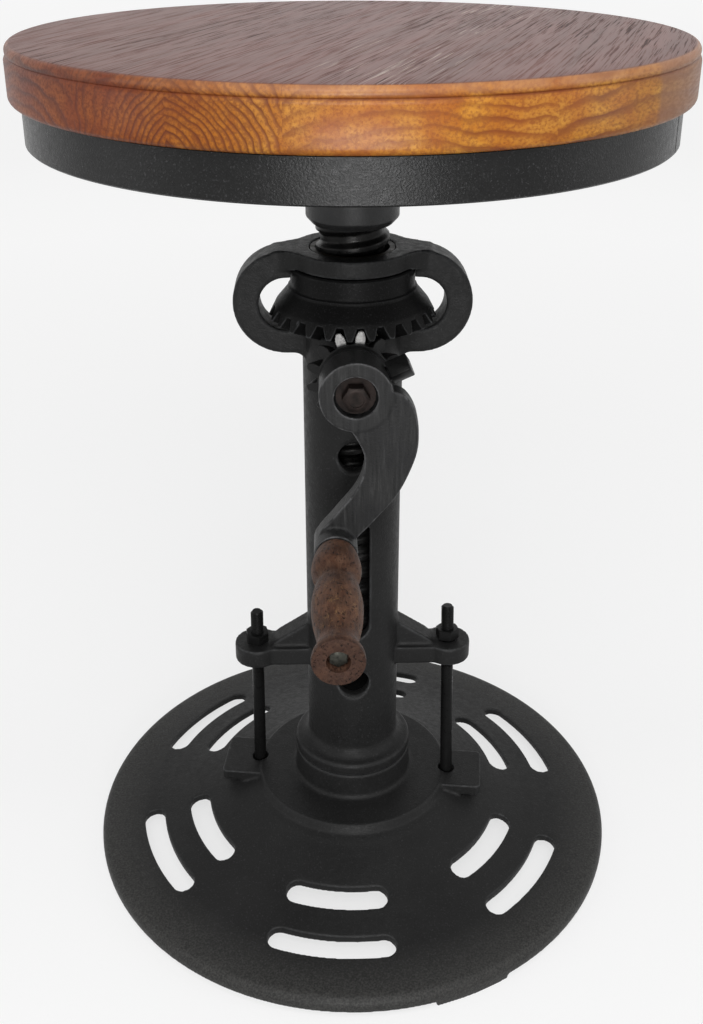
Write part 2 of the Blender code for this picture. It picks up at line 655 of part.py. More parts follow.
def make_crank():
    """Pinion, crank and axle bolt, built along the axle that points to -Y."""
    axis = empty("crank_axis", (0, 0, SHAFT_HEIGHT), turn=(math.pi / 2, 0, 0))
    tip = cone_point(ADDENDUM, PINION_TEETH, PINION_CONE, TOE)
    root = cone_point(-DEDENDUM, PINION_TEETH, PINION_CONE, TOE)
    heel_tip = cone_point(ADDENDUM, PINION_TEETH, PINION_CONE, 1)
    heel_root = cone_point(-1.3 * DEDENDUM, PINION_TEETH, PINION_CONE, 1)
    sleeve_front = COUNTERBORE_FLOOR - FIT
    profile = [
        (AXLE_BORE, sleeve_front), (SLEEVE_RADIUS, sleeve_front), (SLEEVE_RADIUS, HUB_BACK - FIT),
        (heel_root[0] - 1 * MM, HUB_BACK - FIT), (heel_root[0], HUB_BACK - FIT - 1 * MM), heel_root, heel_tip,
        tip, (root[0] - 1 * MM, pinion_back()), (AXLE_BORE, pinion_back()),
    ]
    pinion = turned("bevel_pinion", profile, BLACK_STEEL, axis, steps=39)
    first = math.pi / 2 - REST_TURN * GEAR_TEETH / PINION_TEETH + math.pi / PINION_TEETH
    cut(pinion, tooth_gaps("pinion_gaps", PINION_TEETH, PINION_CONE, first, axis))

    arm = make_crank_arm(axis)
    set_turn = Matrix.Rotation(SET_SCREW_ANGLE, 4, "Z") @ Matrix.Rotation(math.pi / 2, 4, "Y")
    set_turn = Matrix.Translation((0, 0, HUB_BACK + SET_SCREW_SETBACK)) @ set_turn
    past = HUB_RADIUS + CUT_OVER
    cut(arm, rod("set_hole", SET_SCREW_RADIUS + FIT, 0, past, parent=axis, sides=20, turn=set_turn))
    point = SLEEVE_RADIUS + FIT
    side = SET_SCREW_FLATS / math.sqrt(2)
    head_low = HUB_RADIUS + FIT
    head_high = head_low + SET_SCREW_HEAD
    middle = (head_low + head_high) / 2
    screw = rod("crank_set_screw", SET_SCREW_RADIUS, point, middle, BLACK_STEEL, axis, 20, set_turn)
    join(screw, rod("set_head", side, head_low, head_high, parent=axis, sides=4, turn=set_turn))
    make_axle(axis)
    make_grip(axis)


def make_crank_arm(axis):
    """The flat bowed arm with its hub and the boss that carries the grip.

    The outline is given in shares of the throw: to the side of the line to the grip, and down along it.
    """
    bow = (
        (0.130, -0.039), (0.267, -0.022), (0.359, 0.084), (0.401, 0.225), (0.406, 0.393), (0.338, 0.627),
        (0.233, 0.792), (0.136, 0.921), (0.008, 1.067), (-0.119, 0.944), (-0.033, 0.781), (0.071, 0.618),
        (0.107, 0.483), (0.089, 0.360), (0.005, 0.225), (-0.073, 0.135), (0.000, 0.000),
    )
    outline = [(THROW_SIDE * drop - THROW_DROP * side, THROW_DROP * drop) for side, drop in bow]
    arm = smooth_plate("crank_arm", outline, ARM_BACK, ARM_FRONT, BLACK_IRON, axis)
    end = Matrix.Translation((THROW_SIDE, THROW_DROP, 0))
    join(arm, rod("crank_hub", HUB_RADIUS, HUB_BACK, HUB_FRONT, parent=axis, sides=32))
    boss_back = ARM_BACK - END_BOSS_BACK
    join(arm, rod("crank_end", END_BOSS_RADIUS, boss_back, END_BOSS_FRONT, parent=axis, turn=end))
    past = END_BOSS_FRONT + CUT_OVER
    cut(arm, rod("sleeve_hole", SLEEVE_RADIUS + FIT, 0, past, parent=axis, sides=28))
    cut(arm, rod("counterbore", COUNTERBORE_RADIUS, COUNTERBORE_FLOOR, past, parent=axis, sides=28))
    cut(arm, rod("grip_hole", GRIP_BOLT_RADIUS + FIT, 0, past, parent=axis, sides=24, turn=end))
    return arm


def make_axle(axis):
    """The fixed bolt in the column's front wall, with the washer that keeps the crank on."""
    washer_low = COUNTERBORE_FLOOR + FIT
    washer_high = washer_low + AXLE_WASHER_THICKNESS
    washer = [
        (AXLE_BORE, washer_high), (AXLE_WASHER_RADIUS, washer_high),
        (AXLE_WASHER_RADIUS, washer_low), (AXLE_BORE, washer_low),
    ]
    turned("axle_washer", washer, RUSTY_STEEL, axis, steps=24)
    head_low = washer_high + FIT
    head_high = head_low + AXLE_HEAD_HEIGHT
    inner_end = SCREW_BORE + AXLE_END_GAP
    shank = rod("axle_bolt", AXLE_RADIUS, inner_end, (head_low + head_high) / 2, RUSTY_STEEL, axis, sides=24)
    flat_up = Matrix.Rotation(math.pi / 6, 4, "Z")
    corner = AXLE_HEAD_FLATS / math.sqrt(3)
    join(shank, rod("axle_head", corner, head_low, head_high, parent=axis, sides=6, turn=flat_up))


def make_grip(axis):
    """The turned wooden grip, free to spin on its bolt; stations are shares of its length and radius."""
    stations = (
        (0.0, 0.82), (0.062, 0.925), (0.144, 1.0), (0.215, 0.95), (0.29, 0.77), (0.369, 0.89), (0.508, 0.993),
        (0.656, 0.94), (0.769, 0.82), (0.846, 0.761), (0.903, 0.836), (0.949, 0.948),
        (0.979, 0.978), (1.0, 0.963),
    )
    pivot = empty("grip_axis", (THROW_SIDE, THROW_DROP, 0), axis)
    outside = [(GRIP_RADIUS * swell, GRIP_LOW + GRIP_LENGTH * along) for along, swell in stations]
    grip_end = GRIP_LOW + GRIP_LENGTH
    recess = grip_end - GRIP_RECESS_DEPTH
    bore = GRIP_BOLT_RADIUS + FIT
    inside = [(bore, GRIP_LOW), (bore, recess), (GRIP_RECESS_RADIUS, recess), (GRIP_RECESS_RADIUS, grip_end)]
    turned("wooden_grip", outside[::-1] + inside, DARK_WOOD, pivot, steps=18)
    head_low = recess + FIT
    nut_high = ARM_BACK - END_BOSS_BACK - FIT
    nut_low = nut_high - NUT_HEIGHT
    head_high = head_low + GRIP_HEAD_HEIGHT
    middle = (head_low + head_high) / 2
    shank = rod("grip_bolt", GRIP_BOLT_RADIUS, nut_low - 2 * MM, middle, BRIGHT_STEEL, pivot, sides=24)
    join(shank, rod("grip_head", GRIP_RECESS_RADIUS - FIT, head_low, head_high, parent=pivot, sides=20))
    nut = rod("grip_nut", NUT_LENGTH, nut_low, nut_high, BLACK_STEEL, pivot, sides=6)
    cut(nut, rod("grip_nut_bore", bore, 0, nut_high + CUT_OVER, parent=pivot, sides=24))


def make_seat():
    """Lift screw, collar, plate, hoop and wooden top, which rise and sink together."""
    axis = empty("seat_axis", (0, 0, 0))
    screw_top = COLLAR_LOW + COLLAR_GRIP
    screw = rod("lift_screw", SCREW_RADIUS, SCREW_BOTTOM, screw_top, SCREW_STEEL, axis, sides=48)
    low = (-KEYWAY_WIDTH / 2, SCREW_RADIUS - KEYWAY_DEPTH, SCREW_BOTTOM - 5 * MM)
    high = (KEYWAY_WIDTH / 2, SCREW_RADIUS + KEYWAY_DEPTH, COLLAR_LOW - 5 * MM)
    cut(screw, box("keyway", low, high, parent=axis))
    key_turn = Matrix.Translation((0, 0, KEY_HEIGHT)) @ Matrix.Rotation(-math.pi / 2, 4, "X")
    key_tip = SCREW_RADIUS - KEYWAY_DEPTH + FIT
    rod("guide_key", KEY_RADIUS, key_tip, COLUMN_RADIUS + KEY_STAND_OUT, BLACK_STEEL, sides=20, turn=key_turn)

    outer = COLLAR_BORE + COLLAR_WALL
    collar = [
        (COLLAR_BORE, COLLAR_TOP), (outer, COLLAR_TOP), (outer, COLLAR_LOW + COLLAR_CHAMFER),
        (outer - COLLAR_CHAMFER / 2, COLLAR_LOW), (COLLAR_BORE, COLLAR_LOW),
    ]
    turned("seat_collar", collar, BLACK_STEEL, axis, steps=32)
    plate_radius = HOOP_RADIUS - HOOP_WALL - FIT
    plate_disc = rod("seat_plate", plate_radius, PLATE_LOW, PLATE_TOP, BLACK_STEEL, axis, sides=44)
    hoop_low = PLATE_TOP - HOOP_HEIGHT
    hoop = [
        (HOOP_RADIUS - HOOP_WALL, PLATE_TOP), (HOOP_RADIUS - HOOP_EDGE, PLATE_TOP),
        (HOOP_RADIUS, PLATE_TOP - HOOP_EDGE), (HOOP_RADIUS, hoop_low + HOOP_EDGE),
        (HOOP_RADIUS - HOOP_EDGE, hoop_low), (HOOP_RADIUS - HOOP_WALL, hoop_low),
    ]
    turned("seat_hoop", hoop, BLACK_STEEL, axis, steps=44)
    corner = SEAT_RADIUS - SEAT_EDGE
    top_round = [(corner + x, SEAT_TOP - SEAT_EDGE + y) for x, y in arc((0, 0), SEAT_EDGE, 90, 0, 4)]
    small = SEAT_EDGE / 2
    low_round = [(SEAT_RADIUS - small + x, SEAT_LOW + small + y) for x, y in arc((0, 0), small, 0, -90, 2)]
    section = [(0, SEAT_TOP)] + top_round + low_round + [(0, SEAT_LOW)]
    top = turned("seat_top", section, WOOD, axis, steps=44, ring=False)

    for number in range(SEAT_SCREWS):
        angle = 2 * math.pi * (number + 0.5) / SEAT_SCREWS
        at = Matrix.Translation((SEAT_SCREW_CIRCLE * math.cos(angle), SEAT_SCREW_CIRCLE * math.sin(angle), 0))
        wide = SEAT_SCREW_RADIUS + FIT
        tip = SEAT_LOW + SEAT_SCREW_BITE
        hole = rod(f"seat_hole_{number}", wide, PLATE_LOW - RUN, tip + FIT, parent=axis, sides=8, turn=at)
        cut(plate_disc, hole)
        cut(top, hole)
        head_high = PLATE_LOW - FIT
        name = f"seat_screw_{number + 1}"
        shank = rod(name, SEAT_SCREW_RADIUS, head_high - 1 * MM, tip, BLACK_STEEL, axis, sides=8, turn=at)
        head = rod(
            f"seat_head_{number}", SEAT_SCREW_HEAD, head_high - SEAT_SCREW_HEAD_HEIGHT, head_high,
            parent=axis, sides=10, turn=at,
        )
        join(shank, head)


clear_scene()
PARTS = make_collection("crank_stool", False)
CUTTERS = make_collection("cutters", True)
IRON = finish("black_cast_iron", (0.03, 0.03, 0.03), 0.55, 0.0)
BLACK_IRON = finish("black_crank_iron", (0.025, 0.025, 0.025), 0.5, 0.0)
BLACK_STEEL = finish("black_steel", (0.03, 0.03, 0.03), 0.4, 0.6)
SCREW_STEEL = finish("oiled_screw_steel", (0.06, 0.06, 0.06), 0.35, 0.9)
BRIGHT_STEEL = finish("bright_steel", (0.5, 0.5, 0.48), 0.35, 1.0)
RUSTY_STEEL = finish("rusty_steel", (0.08, 0.045, 0.03), 0.6, 0.6)
BRONZE = finish("bush_bronze", (0.35, 0.22, 0.1), 0.4, 1.0)
WOOD = finish("stained_wood", (0.22, 0.1, 0.04), 0.45, 0.0)
DARK_WOOD = finish("dark_wood", (0.05, 0.03, 0.02), 0.4, 0.0)

make_base()
make_column()
make_tie_rods()
make_gear()
make_crank()
make_seat()
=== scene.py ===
"""Looks of the crank-adjustable stool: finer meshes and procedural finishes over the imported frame."""

import json
import math

import bmesh
import bpy
from mathutils import Matrix, Vector


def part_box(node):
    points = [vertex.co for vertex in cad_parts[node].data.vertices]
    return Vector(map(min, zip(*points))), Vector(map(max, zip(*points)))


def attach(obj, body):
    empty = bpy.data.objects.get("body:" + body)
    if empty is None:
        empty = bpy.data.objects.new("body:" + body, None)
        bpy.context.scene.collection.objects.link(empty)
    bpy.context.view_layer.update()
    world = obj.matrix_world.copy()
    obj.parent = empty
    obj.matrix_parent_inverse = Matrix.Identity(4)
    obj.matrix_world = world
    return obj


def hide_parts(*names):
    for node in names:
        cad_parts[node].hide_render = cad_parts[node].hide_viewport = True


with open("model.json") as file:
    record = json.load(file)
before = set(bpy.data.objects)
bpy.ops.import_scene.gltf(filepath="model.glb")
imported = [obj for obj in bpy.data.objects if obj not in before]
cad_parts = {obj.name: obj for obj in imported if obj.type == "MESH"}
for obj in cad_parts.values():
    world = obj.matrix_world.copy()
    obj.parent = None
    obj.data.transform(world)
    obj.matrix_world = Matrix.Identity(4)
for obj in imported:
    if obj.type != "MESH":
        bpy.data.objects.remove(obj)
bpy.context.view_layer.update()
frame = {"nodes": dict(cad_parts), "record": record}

MM = 0.001
BOX = {name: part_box(name) for name in frame["nodes"]}
BODY_OF = {node: body for body, nodes in frame["record"]["behaviour"]["bodies"].items() for node in nodes}


def low(node, axis):
    """Where a node of the frame begins along an axis."""
    return BOX[node][0][axis]


def high(node, axis):
    """Where a node of the frame ends along an axis."""
    return BOX[node][1][axis]


def radius_of(node):
    """Half of a node's width."""
    return (high(node, 0) - low(node, 0)) / 2


# Sizes read from the frame
SEAT_RADIUS = radius_of("seat_top")
SEAT_LOW = low("seat_top", 2)
SEAT_TOP = high("seat_top", 2)
HOOP_RADIUS = radius_of("seat_hoop")
HOOP_LOW = low("seat_hoop", 2)
HOOP_TOP = high("seat_hoop", 2)
COLLAR_RADIUS = radius_of("seat_collar")
COLLAR_LOW = low("seat_collar", 2)
COLLAR_TOP = high("seat_collar", 2)
SCREW_RADIUS = radius_of("lift_screw")
SCREW_LOW = low("lift_screw", 2)
SCREW_TOP = high("lift_screw", 2)
BASE_RADIUS = radius_of("base_dome")
SOCKET_TOP = high("base_dome", 2)
SHAFT_HEIGHT = frame["record"]["behaviour"]["joints"][1]["pos_m"][2]
GRIP_X, _, GRIP_Z = frame["record"]["behaviour"]["joints"][3]["pos_m"]
GRIP_FRONT = -low("wooden_grip", 1)
GRIP_BACK = -high("wooden_grip", 1)

# Sizes repeated from the part's source
SCREW_BORE = SCREW_RADIUS + 1 * MM
COLUMN_RADIUS = 28.75 * MM
COLUMN_FOOT = 59.8 * MM
COLUMN_TOP = 354 * MM
FLANGE_RADIUS = 37.5 * MM
LOOP_HALF = 67 * MM
ARM_TOP = 139.5 * MM
EAR_REACH = 61 * MM
EAR_RADIUS = high("column_casting", 0) - EAR_REACH
DECK_HEIGHT = 41.5 * MM
DECK_RADIUS = 62.5 * MM
DECK_THICKNESS = 8.4 * MM
LUG_REACH = 63 * MM
BASE_TWIST = math.radians(-6.8)
LEAD = 12 * MM
RUNNING_GAP = 0.3 * MM
REST_TURN = math.radians(4.1)
GRAIN_TURN = math.radians(71)

# Bolts of 8 mm
BOLT_RADIUS = 4 * MM
BOLT_PITCH = 1.25 * MM
BOLT_FLATS = 13 * MM
BOLT_HOLE = 4.3 * MM
ROD_HOLE = 5.3 * MM
NUT_BORE = 4.2 * MM
NUT_HEIGHT = 6.8 * MM

# Bevel gears
GEAR_TEETH = 25
PINION_TEETH = 13
MODULE = 3.68 * MM
ADDENDUM = 0.85 * MODULE
DEDENDUM = 1.08 * MODULE
BACKLASH = 0.5 * MM
FACE_WIDTH = 12.5 * MM
PRESSURE_ANGLE = math.radians(20)
GEAR_PITCH = MODULE * GEAR_TEETH / 2
PINION_PITCH = MODULE * PINION_TEETH / 2
GEAR_CONE = math.atan2(GEAR_PITCH, PINION_PITCH)
PINION_CONE = math.atan2(PINION_PITCH, GEAR_PITCH)
TOE = 1 - FACE_WIDTH / math.hypot(GEAR_PITCH, PINION_PITCH)

# Axes to the front, from the middle, the shaft and the grip, and the set screw's axis
FACING = Matrix.Rotation(math.pi / 2, 4, "X")
FORWARD = Matrix.Translation((0, 0, SHAFT_HEIGHT)) @ FACING
GRIP_AXIS = Matrix.Translation((GRIP_X, 0, GRIP_Z)) @ FACING
SET_SCREW_REACH = 60 * MM
SET_SCREW_LEAN = math.radians(25)
SET_SCREW = FORWARD @ Matrix.Translation((0, 0, SET_SCREW_REACH))
SET_SCREW = SET_SCREW @ Matrix.Rotation(SET_SCREW_LEAN, 4, "Z") @ Matrix.Rotation(math.pi / 2, 4, "Y")


# Mesh helpers
def new_object(name, data):
    """An object in the scene."""
    made = bpy.data.objects.new(name, data)
    bpy.context.scene.collection.objects.link(made)
    return made


def from_bmesh(name, shape, turn=None):
    """An object made of a worked shape, moved to its place."""
    if turn is not None:
        bmesh.ops.transform(shape, matrix=turn, verts=shape.verts)
    mesh = bpy.data.meshes.new(name)
    shape.to_mesh(mesh)
    shape.free()
    return new_object(name, mesh)


def rod(name, radius, start, end, sides=48, turn=None, end_radius=None):
    """A round or many-sided bar, or a cone, along Z."""
    shape = bmesh.new()
    bmesh.ops.create_cone(
        shape, cap_ends=True, segments=sides, radius1=radius,
        radius2=radius if end_radius is None else end_radius, depth=end - start,
    )
    bmesh.ops.translate(shape, verts=shape.verts, vec=(0, 0, (start + end) / 2))
    return from_bmesh(name, shape, turn)


def turned(name, profile, steps=96, ring=True, turn=None):
    """A profile of (radius, height), read down the outside and up the inside, turned about Z."""
    shape = bmesh.new()
    corners = [shape.verts.new((radius, 0, height)) for radius, height in profile]
    pairs = list(zip(corners, corners[1:]))
    if ring:
        pairs.append((corners[-1], corners[0]))
    edges = [shape.edges.new(pair) for pair in pairs]
    bmesh.ops.spin(
        shape, geom=corners + edges, cent=(0, 0, 0), axis=(0, 0, 1), angle=2 * math.pi, steps=steps,
        use_merge=True, use_duplicate=False,
    )
    bmesh.ops.remove_doubles(shape, verts=shape.verts, dist=1e-6)
    bmesh.ops.recalc_face_normals(shape, faces=shape.faces)
    return from_bmesh(name, shape, turn)


def arc(centre, radius, start, end, count):
    """Points along an arc, angles in degrees."""
    angles = [math.radians(start + (end - start) * i / count) for i in range(count + 1)]
    return [(centre[0] + radius * math.cos(angle), centre[1] + radius * math.sin(angle)) for angle in angles]


def stadium(half_length, bottom, top, count=24):
    """A long outline with half-round ends."""
    radius = (top - bottom) / 2
    middle = (top + bottom) / 2
    reach = half_length - radius
    return arc((reach, middle), radius, -90, 90, count) + arc((-reach, middle), radius, 90, 270, count)


def curve_point(corners, t):
    """A point between the second and third of four corners of a Catmull-Rom curve."""
    a, b, c, d = (Vector(corner) for corner in corners)
    bend = 2 * a - 5 * b + 4 * c - d
    twist = 3 * b - a - 3 * c + d
    return 0.5 * (2 * b + (c - a) * t + bend * t**2 + twist * t**3)


def smooth_outline(points, count=8):
    """A closed curve through a few points."""
    outline = []
    for i in range(len(points)):
        corners = [points[(i + k) % len(points)] for k in (-1, 0, 1, 2)]
        outline += [tuple(curve_point(corners, j / count)) for j in range(count)]
    return outline


def smooth_profile(points, count=6):
    """An open curve through (height, radius) stations, as (radius, height)."""
    ends = [points[0], *points, points[-1]]
    profile = []
    for i in range(len(points) - 1):
        steps = [curve_point(ends[i:i + 4], j / count) for j in range(count)]
        profile += [(point.y, point.x) for point in steps]
    profile.append((points[-1][1], points[-1][0]))
    return profile


def plate(name, outline, start, end, turn=None):
    """A flat outline, filled and drawn out from start to end."""
    shape = bmesh.new()
    corners = [shape.verts.new((x, y, start)) for x, y in outline]
    for first, second in zip(corners, corners[1:] + corners[:1]):
        shape.edges.new((first, second))
    bottom = bmesh.ops.contextual_create(shape, geom=shape.edges[:])["faces"]
    walls = bmesh.ops.extrude_face_region(shape, geom=bottom)
    raised = [corner for corner in walls["geom"] if isinstance(corner, bmesh.types.BMVert)]
    bmesh.ops.translate(shape, verts=raised, vec=(0, 0, end - start))
    bmesh.ops.recalc_face_normals(shape, faces=shape.faces)
    return from_bmesh(name, shape, turn)


def modify(body, kind, **settings):
    """Adds a modifier."""
    step = body.modifiers.new(kind, kind)
    for key, value in settings.items():
        setattr(step, key, value)


def carve(body, steps):
    """Joins and cuts in order, each step (operation, tool); the tools are then removed."""
    for operation, tool in steps:
        modify(body, "BOOLEAN", operation=operation, solver="EXACT", object=tool)
    settle(body)
    for _, tool in steps:
        bpy.data.objects.remove(tool)
    return body


def settle(body):
    """Applies a piece's modifiers."""
    seen = body.evaluated_get(bpy.context.evaluated_depsgraph_get())
    mesh = bpy.data.meshes.new_from_object(seen)
    body.modifiers.clear()
    body.data = mesh


def soften(body, voxel, rounds, most=150_000):
    """Rounds every edge a little, as on a sand casting, then thins the mesh to at most so many triangles."""
    modify(body, "REMESH", mode="VOXEL", voxel_size=voxel)
    modify(body, "SMOOTH", factor=0.5, iterations=rounds)
    settle(body)
    triangles = 2 * len(body.data.polygons)
    if triangles > most:
        modify(body, "DECIMATE", ratio=most / triangles)
        settle(body)
    body.data.shade_smooth()
    return body


def shade(body, angle):
    """Smooth shading, but for edges sharper than an angle in degrees."""
    body.data.shade_smooth()
    body.data.set_sharp_from_angle(angle=math.radians(angle))
    return body


def ease(body, width, angle=35):
    """Bevels sharp edges of a clean mesh and shades it smooth."""
    modify(body, "BEVEL", width=width, segments=2, limit_method="ANGLE", angle_limit=math.radians(angle))
    settle(body)
    return shade(body, 40)


def join_meshes(body, others):
    """One object out of several closed skins."""
    shape = bmesh.new()
    for part in [body] + others:
        shape.from_mesh(part.data)
    mesh = bpy.data.meshes.new(body.name)
    shape.to_mesh(mesh)
    shape.free()
    body.data = mesh
    for part in others:
        bpy.data.objects.remove(part)
    return shade(body, 40)


def coat(piece, material):
    """Gives a piece one material and no other."""
    piece.data.materials.clear()
    piece.data.materials.append(material)


def dress(piece, node, material):
    """Puts a finished piece in the place of a node and lets it move with the node's body."""
    coat(piece, material)
    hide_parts(node)
    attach(piece, BODY_OF[node])


# Material helpers
class Shader:
    """A material with its node tree, and short ways to add and link nodes."""

    def __init__(self, name):
        self.material = bpy.data.materials.new(name)
        self.material.use_nodes = True
        self.tree = self.material.node_tree
        self.surface = self.tree.nodes["Principled BSDF"]
        self.place = self.add("TexCoord").outputs["Object"]

    def add(self, kind, **values):
        """A node, with its settings and input values by name."""
        node = self.tree.nodes.new("ShaderNode" + kind)
        for key, value in values.items():
            if hasattr(node, key):
                setattr(node, key, value)
            else:
                node.inputs[key.replace("_", " ")].default_value = value
        return node

    def link(self, source, target):
        self.tree.links.new(source, target)

    def feed(self, socket, value):
        """A number, a colour or a link into a socket."""
        if isinstance(value, bpy.types.NodeSocket):
            self.link(value, socket)
        else:
            socket.default_value = (*value, 1) if isinstance(value, tuple) else value

    def set(self, **values):
        """Values or links of the surface by name."""
        for key, value in values.items():
            self.feed(self.surface.inputs[key.replace("_", " ")], value)

    def split(self, source):
        """The X, Y and Z of a vector."""
        node = self.add("SeparateXYZ")
        self.link(source, node.inputs["Vector"])
        return [node.outputs[axis] for axis in "XYZ"]

    def length(self, source):
        """The length of a vector."""
        node = self.add("VectorMath", operation="LENGTH")
        self.link(source, node.inputs[0])
        return node.outputs["Value"]

    def stretched(self, scale, turn=0.0, source=None):
        """The place, turned about Z and scaled."""
        mapping = self.add("Mapping", Scale=scale, Rotation=(0, 0, turn))
        self.link(source or self.place, mapping.inputs["Vector"])
        return mapping.outputs["Vector"]

    def noise(self, scale, detail=4, rough=0.5, source=None, distortion=0.0):
        """Noise, drawn out where the scale has three values."""
        if isinstance(scale, tuple):
            source, scale = self.stretched(scale, source=source), 1.0
        node = self.add("TexNoise", Scale=scale, Detail=detail, Roughness=rough, Distortion=distortion)
        self.link(source or self.place, node.inputs["Vector"])
        return node.outputs["Fac"]

    def ramp(self, source, stops):
        """Colours by value."""
        node = self.add("ValToRGB")
        ramp = node.color_ramp
        while len(ramp.elements) < len(stops):
            ramp.elements.new(0.5)
        for element, (place, colour) in zip(ramp.elements, stops):
            element.position = place
            element.color = (*colour, 1)
        self.link(source, node.inputs["Fac"])
        return node.outputs["Color"]

    def grey(self, source, stops):
        """Levels by value."""
        return self.ramp(source, [(place, (value, value, value)) for place, value in stops])

    def math(self, operation, first, second=None, third=None):
        node = self.add("Math", operation=operation)
        for socket, value in zip(node.inputs, (first, second, third)):
            if value is not None:
                self.feed(socket, value)
        return node.outputs["Value"]

    def times(self, first, second):
        return self.math("MULTIPLY", first, second)

    def mix(self, share, first, second, blend="MIX"):
        node = self.add("Mix", data_type="RGBA", blend_type=blend)
        for slot, value in ((0, share), (6, first), (7, second)):
            self.feed(node.inputs[slot], value)
        return node.outputs[2]

    def bump(self, height, strength, distance, normal=None):
        node = self.add("Bump", Strength=strength, Distance=distance)
        self.link(height, node.inputs["Height"])
        if normal is not None:
            self.link(normal, node.inputs["Normal"])
        return node.outputs["Normal"]


def powder_coat(
    name, tones=(0.009, 0.015), grain=900, relief=0.5, rough=(0.40, 0.52),
    edge_wear_and_highlight=0.0, fleck=0.5, gloss=0.12, rim=0.0,
):
    """Black powder coat: fine grain, uneven tone, convex edges painted lighter as worn paint and as a painted
    highlight, and the foot plate's rim painted lighter as scuffing and as a painted highlight.
    """
    s = Shader(name)
    colour = s.grey(s.noise(16, 5, 0.62), [(0.3, tones[0]), (0.7, tones[1])])
    speck = s.noise(grain, 3, 0.6)
    colour = s.mix(s.grey(speck, [(0.58, 0.0), (0.75, fleck)]), colour, (0.05, 0.05, 0.052))
    # Convex edges painted lighter: partly worn paint, partly a painted highlight along the edges.
    if edge_wear_and_highlight:
        edge = s.add("NewGeometry").outputs["Pointiness"]
        edge_rubbing_and_highlight = s.grey(edge, [(0.515, 0.0), (0.55, edge_wear_and_highlight)])
        patchy = s.grey(s.noise(90, 5, 0.7), [(0.35, 0.2), (0.65, 1.0)])
        colour = s.mix(s.times(edge_rubbing_and_highlight, patchy), colour, (0.16, 0.165, 0.17))
    # The foot plate's rim painted lighter all round with a speckle: partly scuffing, partly a painted
    # highlight for its lit front.
    if rim:
        reach = s.math("DIVIDE", s.length(s.stretched((1, 1, 0))), BASE_RADIUS)
        outward = s.grey(reach, [(0.8, 0.0), (0.98, rim)])
        rim_scuff_and_highlight = s.grey(speck, [(0.38, 0.3), (0.62, 1.0)])
        colour = s.mix(s.times(outward, rim_scuff_and_highlight), colour, (0.062, 0.061, 0.058))
    s.set(Base_Color=colour)
    s.set(Roughness=s.grey(s.noise(grain / 3, 2), [(0.35, rough[0]), (0.65, rough[1])]))
    swell = s.noise(60, 3, 0.5)
    s.set(Normal=s.bump(speck, relief, 0.0004, s.bump(swell, 0.05, 0.002)))
    s.set(Specular_IOR_Level=gloss)
    return s.material


def brushed_coat(name):
    """The crank's thin black paint: streaks along the arm, and convex edges painted lighter as paint worn
    through and as a painted highlight.
    """
    s = Shader(name)
    streak = s.noise((420, 420, 34), 5, 0.65)
    cloud = s.noise(38, 4, 0.6)
    colour = s.grey(streak, [(0.32, 0.008), (0.56, 0.022), (0.75, 0.055)])
    colour = s.mix(s.grey(cloud, [(0.4, 0.0), (0.7, 0.6)]), colour, (0.012, 0.012, 0.013))
    # Convex edges painted lighter: partly paint worn through, partly a painted highlight along the edges.
    edge = s.grey(s.add("NewGeometry").outputs["Pointiness"], [(0.515, 0.0), (0.56, 0.85)])
    chipped_and_highlit = s.grey(s.noise(140, 5, 0.7), [(0.4, 0.1), (0.62, 1.0)])
    s.set(Base_Color=s.mix(s.times(edge, chipped_and_highlit), colour, (0.2, 0.2, 0.205)))
    s.set(Roughness=s.grey(streak, [(0.3, 0.36), (0.7, 0.54)]))
    s.set(Normal=s.bump(s.noise(850, 3, 0.6), 0.35, 0.0005, s.bump(streak, 0.25, 0.0005)))
    s.set(Specular_IOR_Level=0.13)
    return s.material


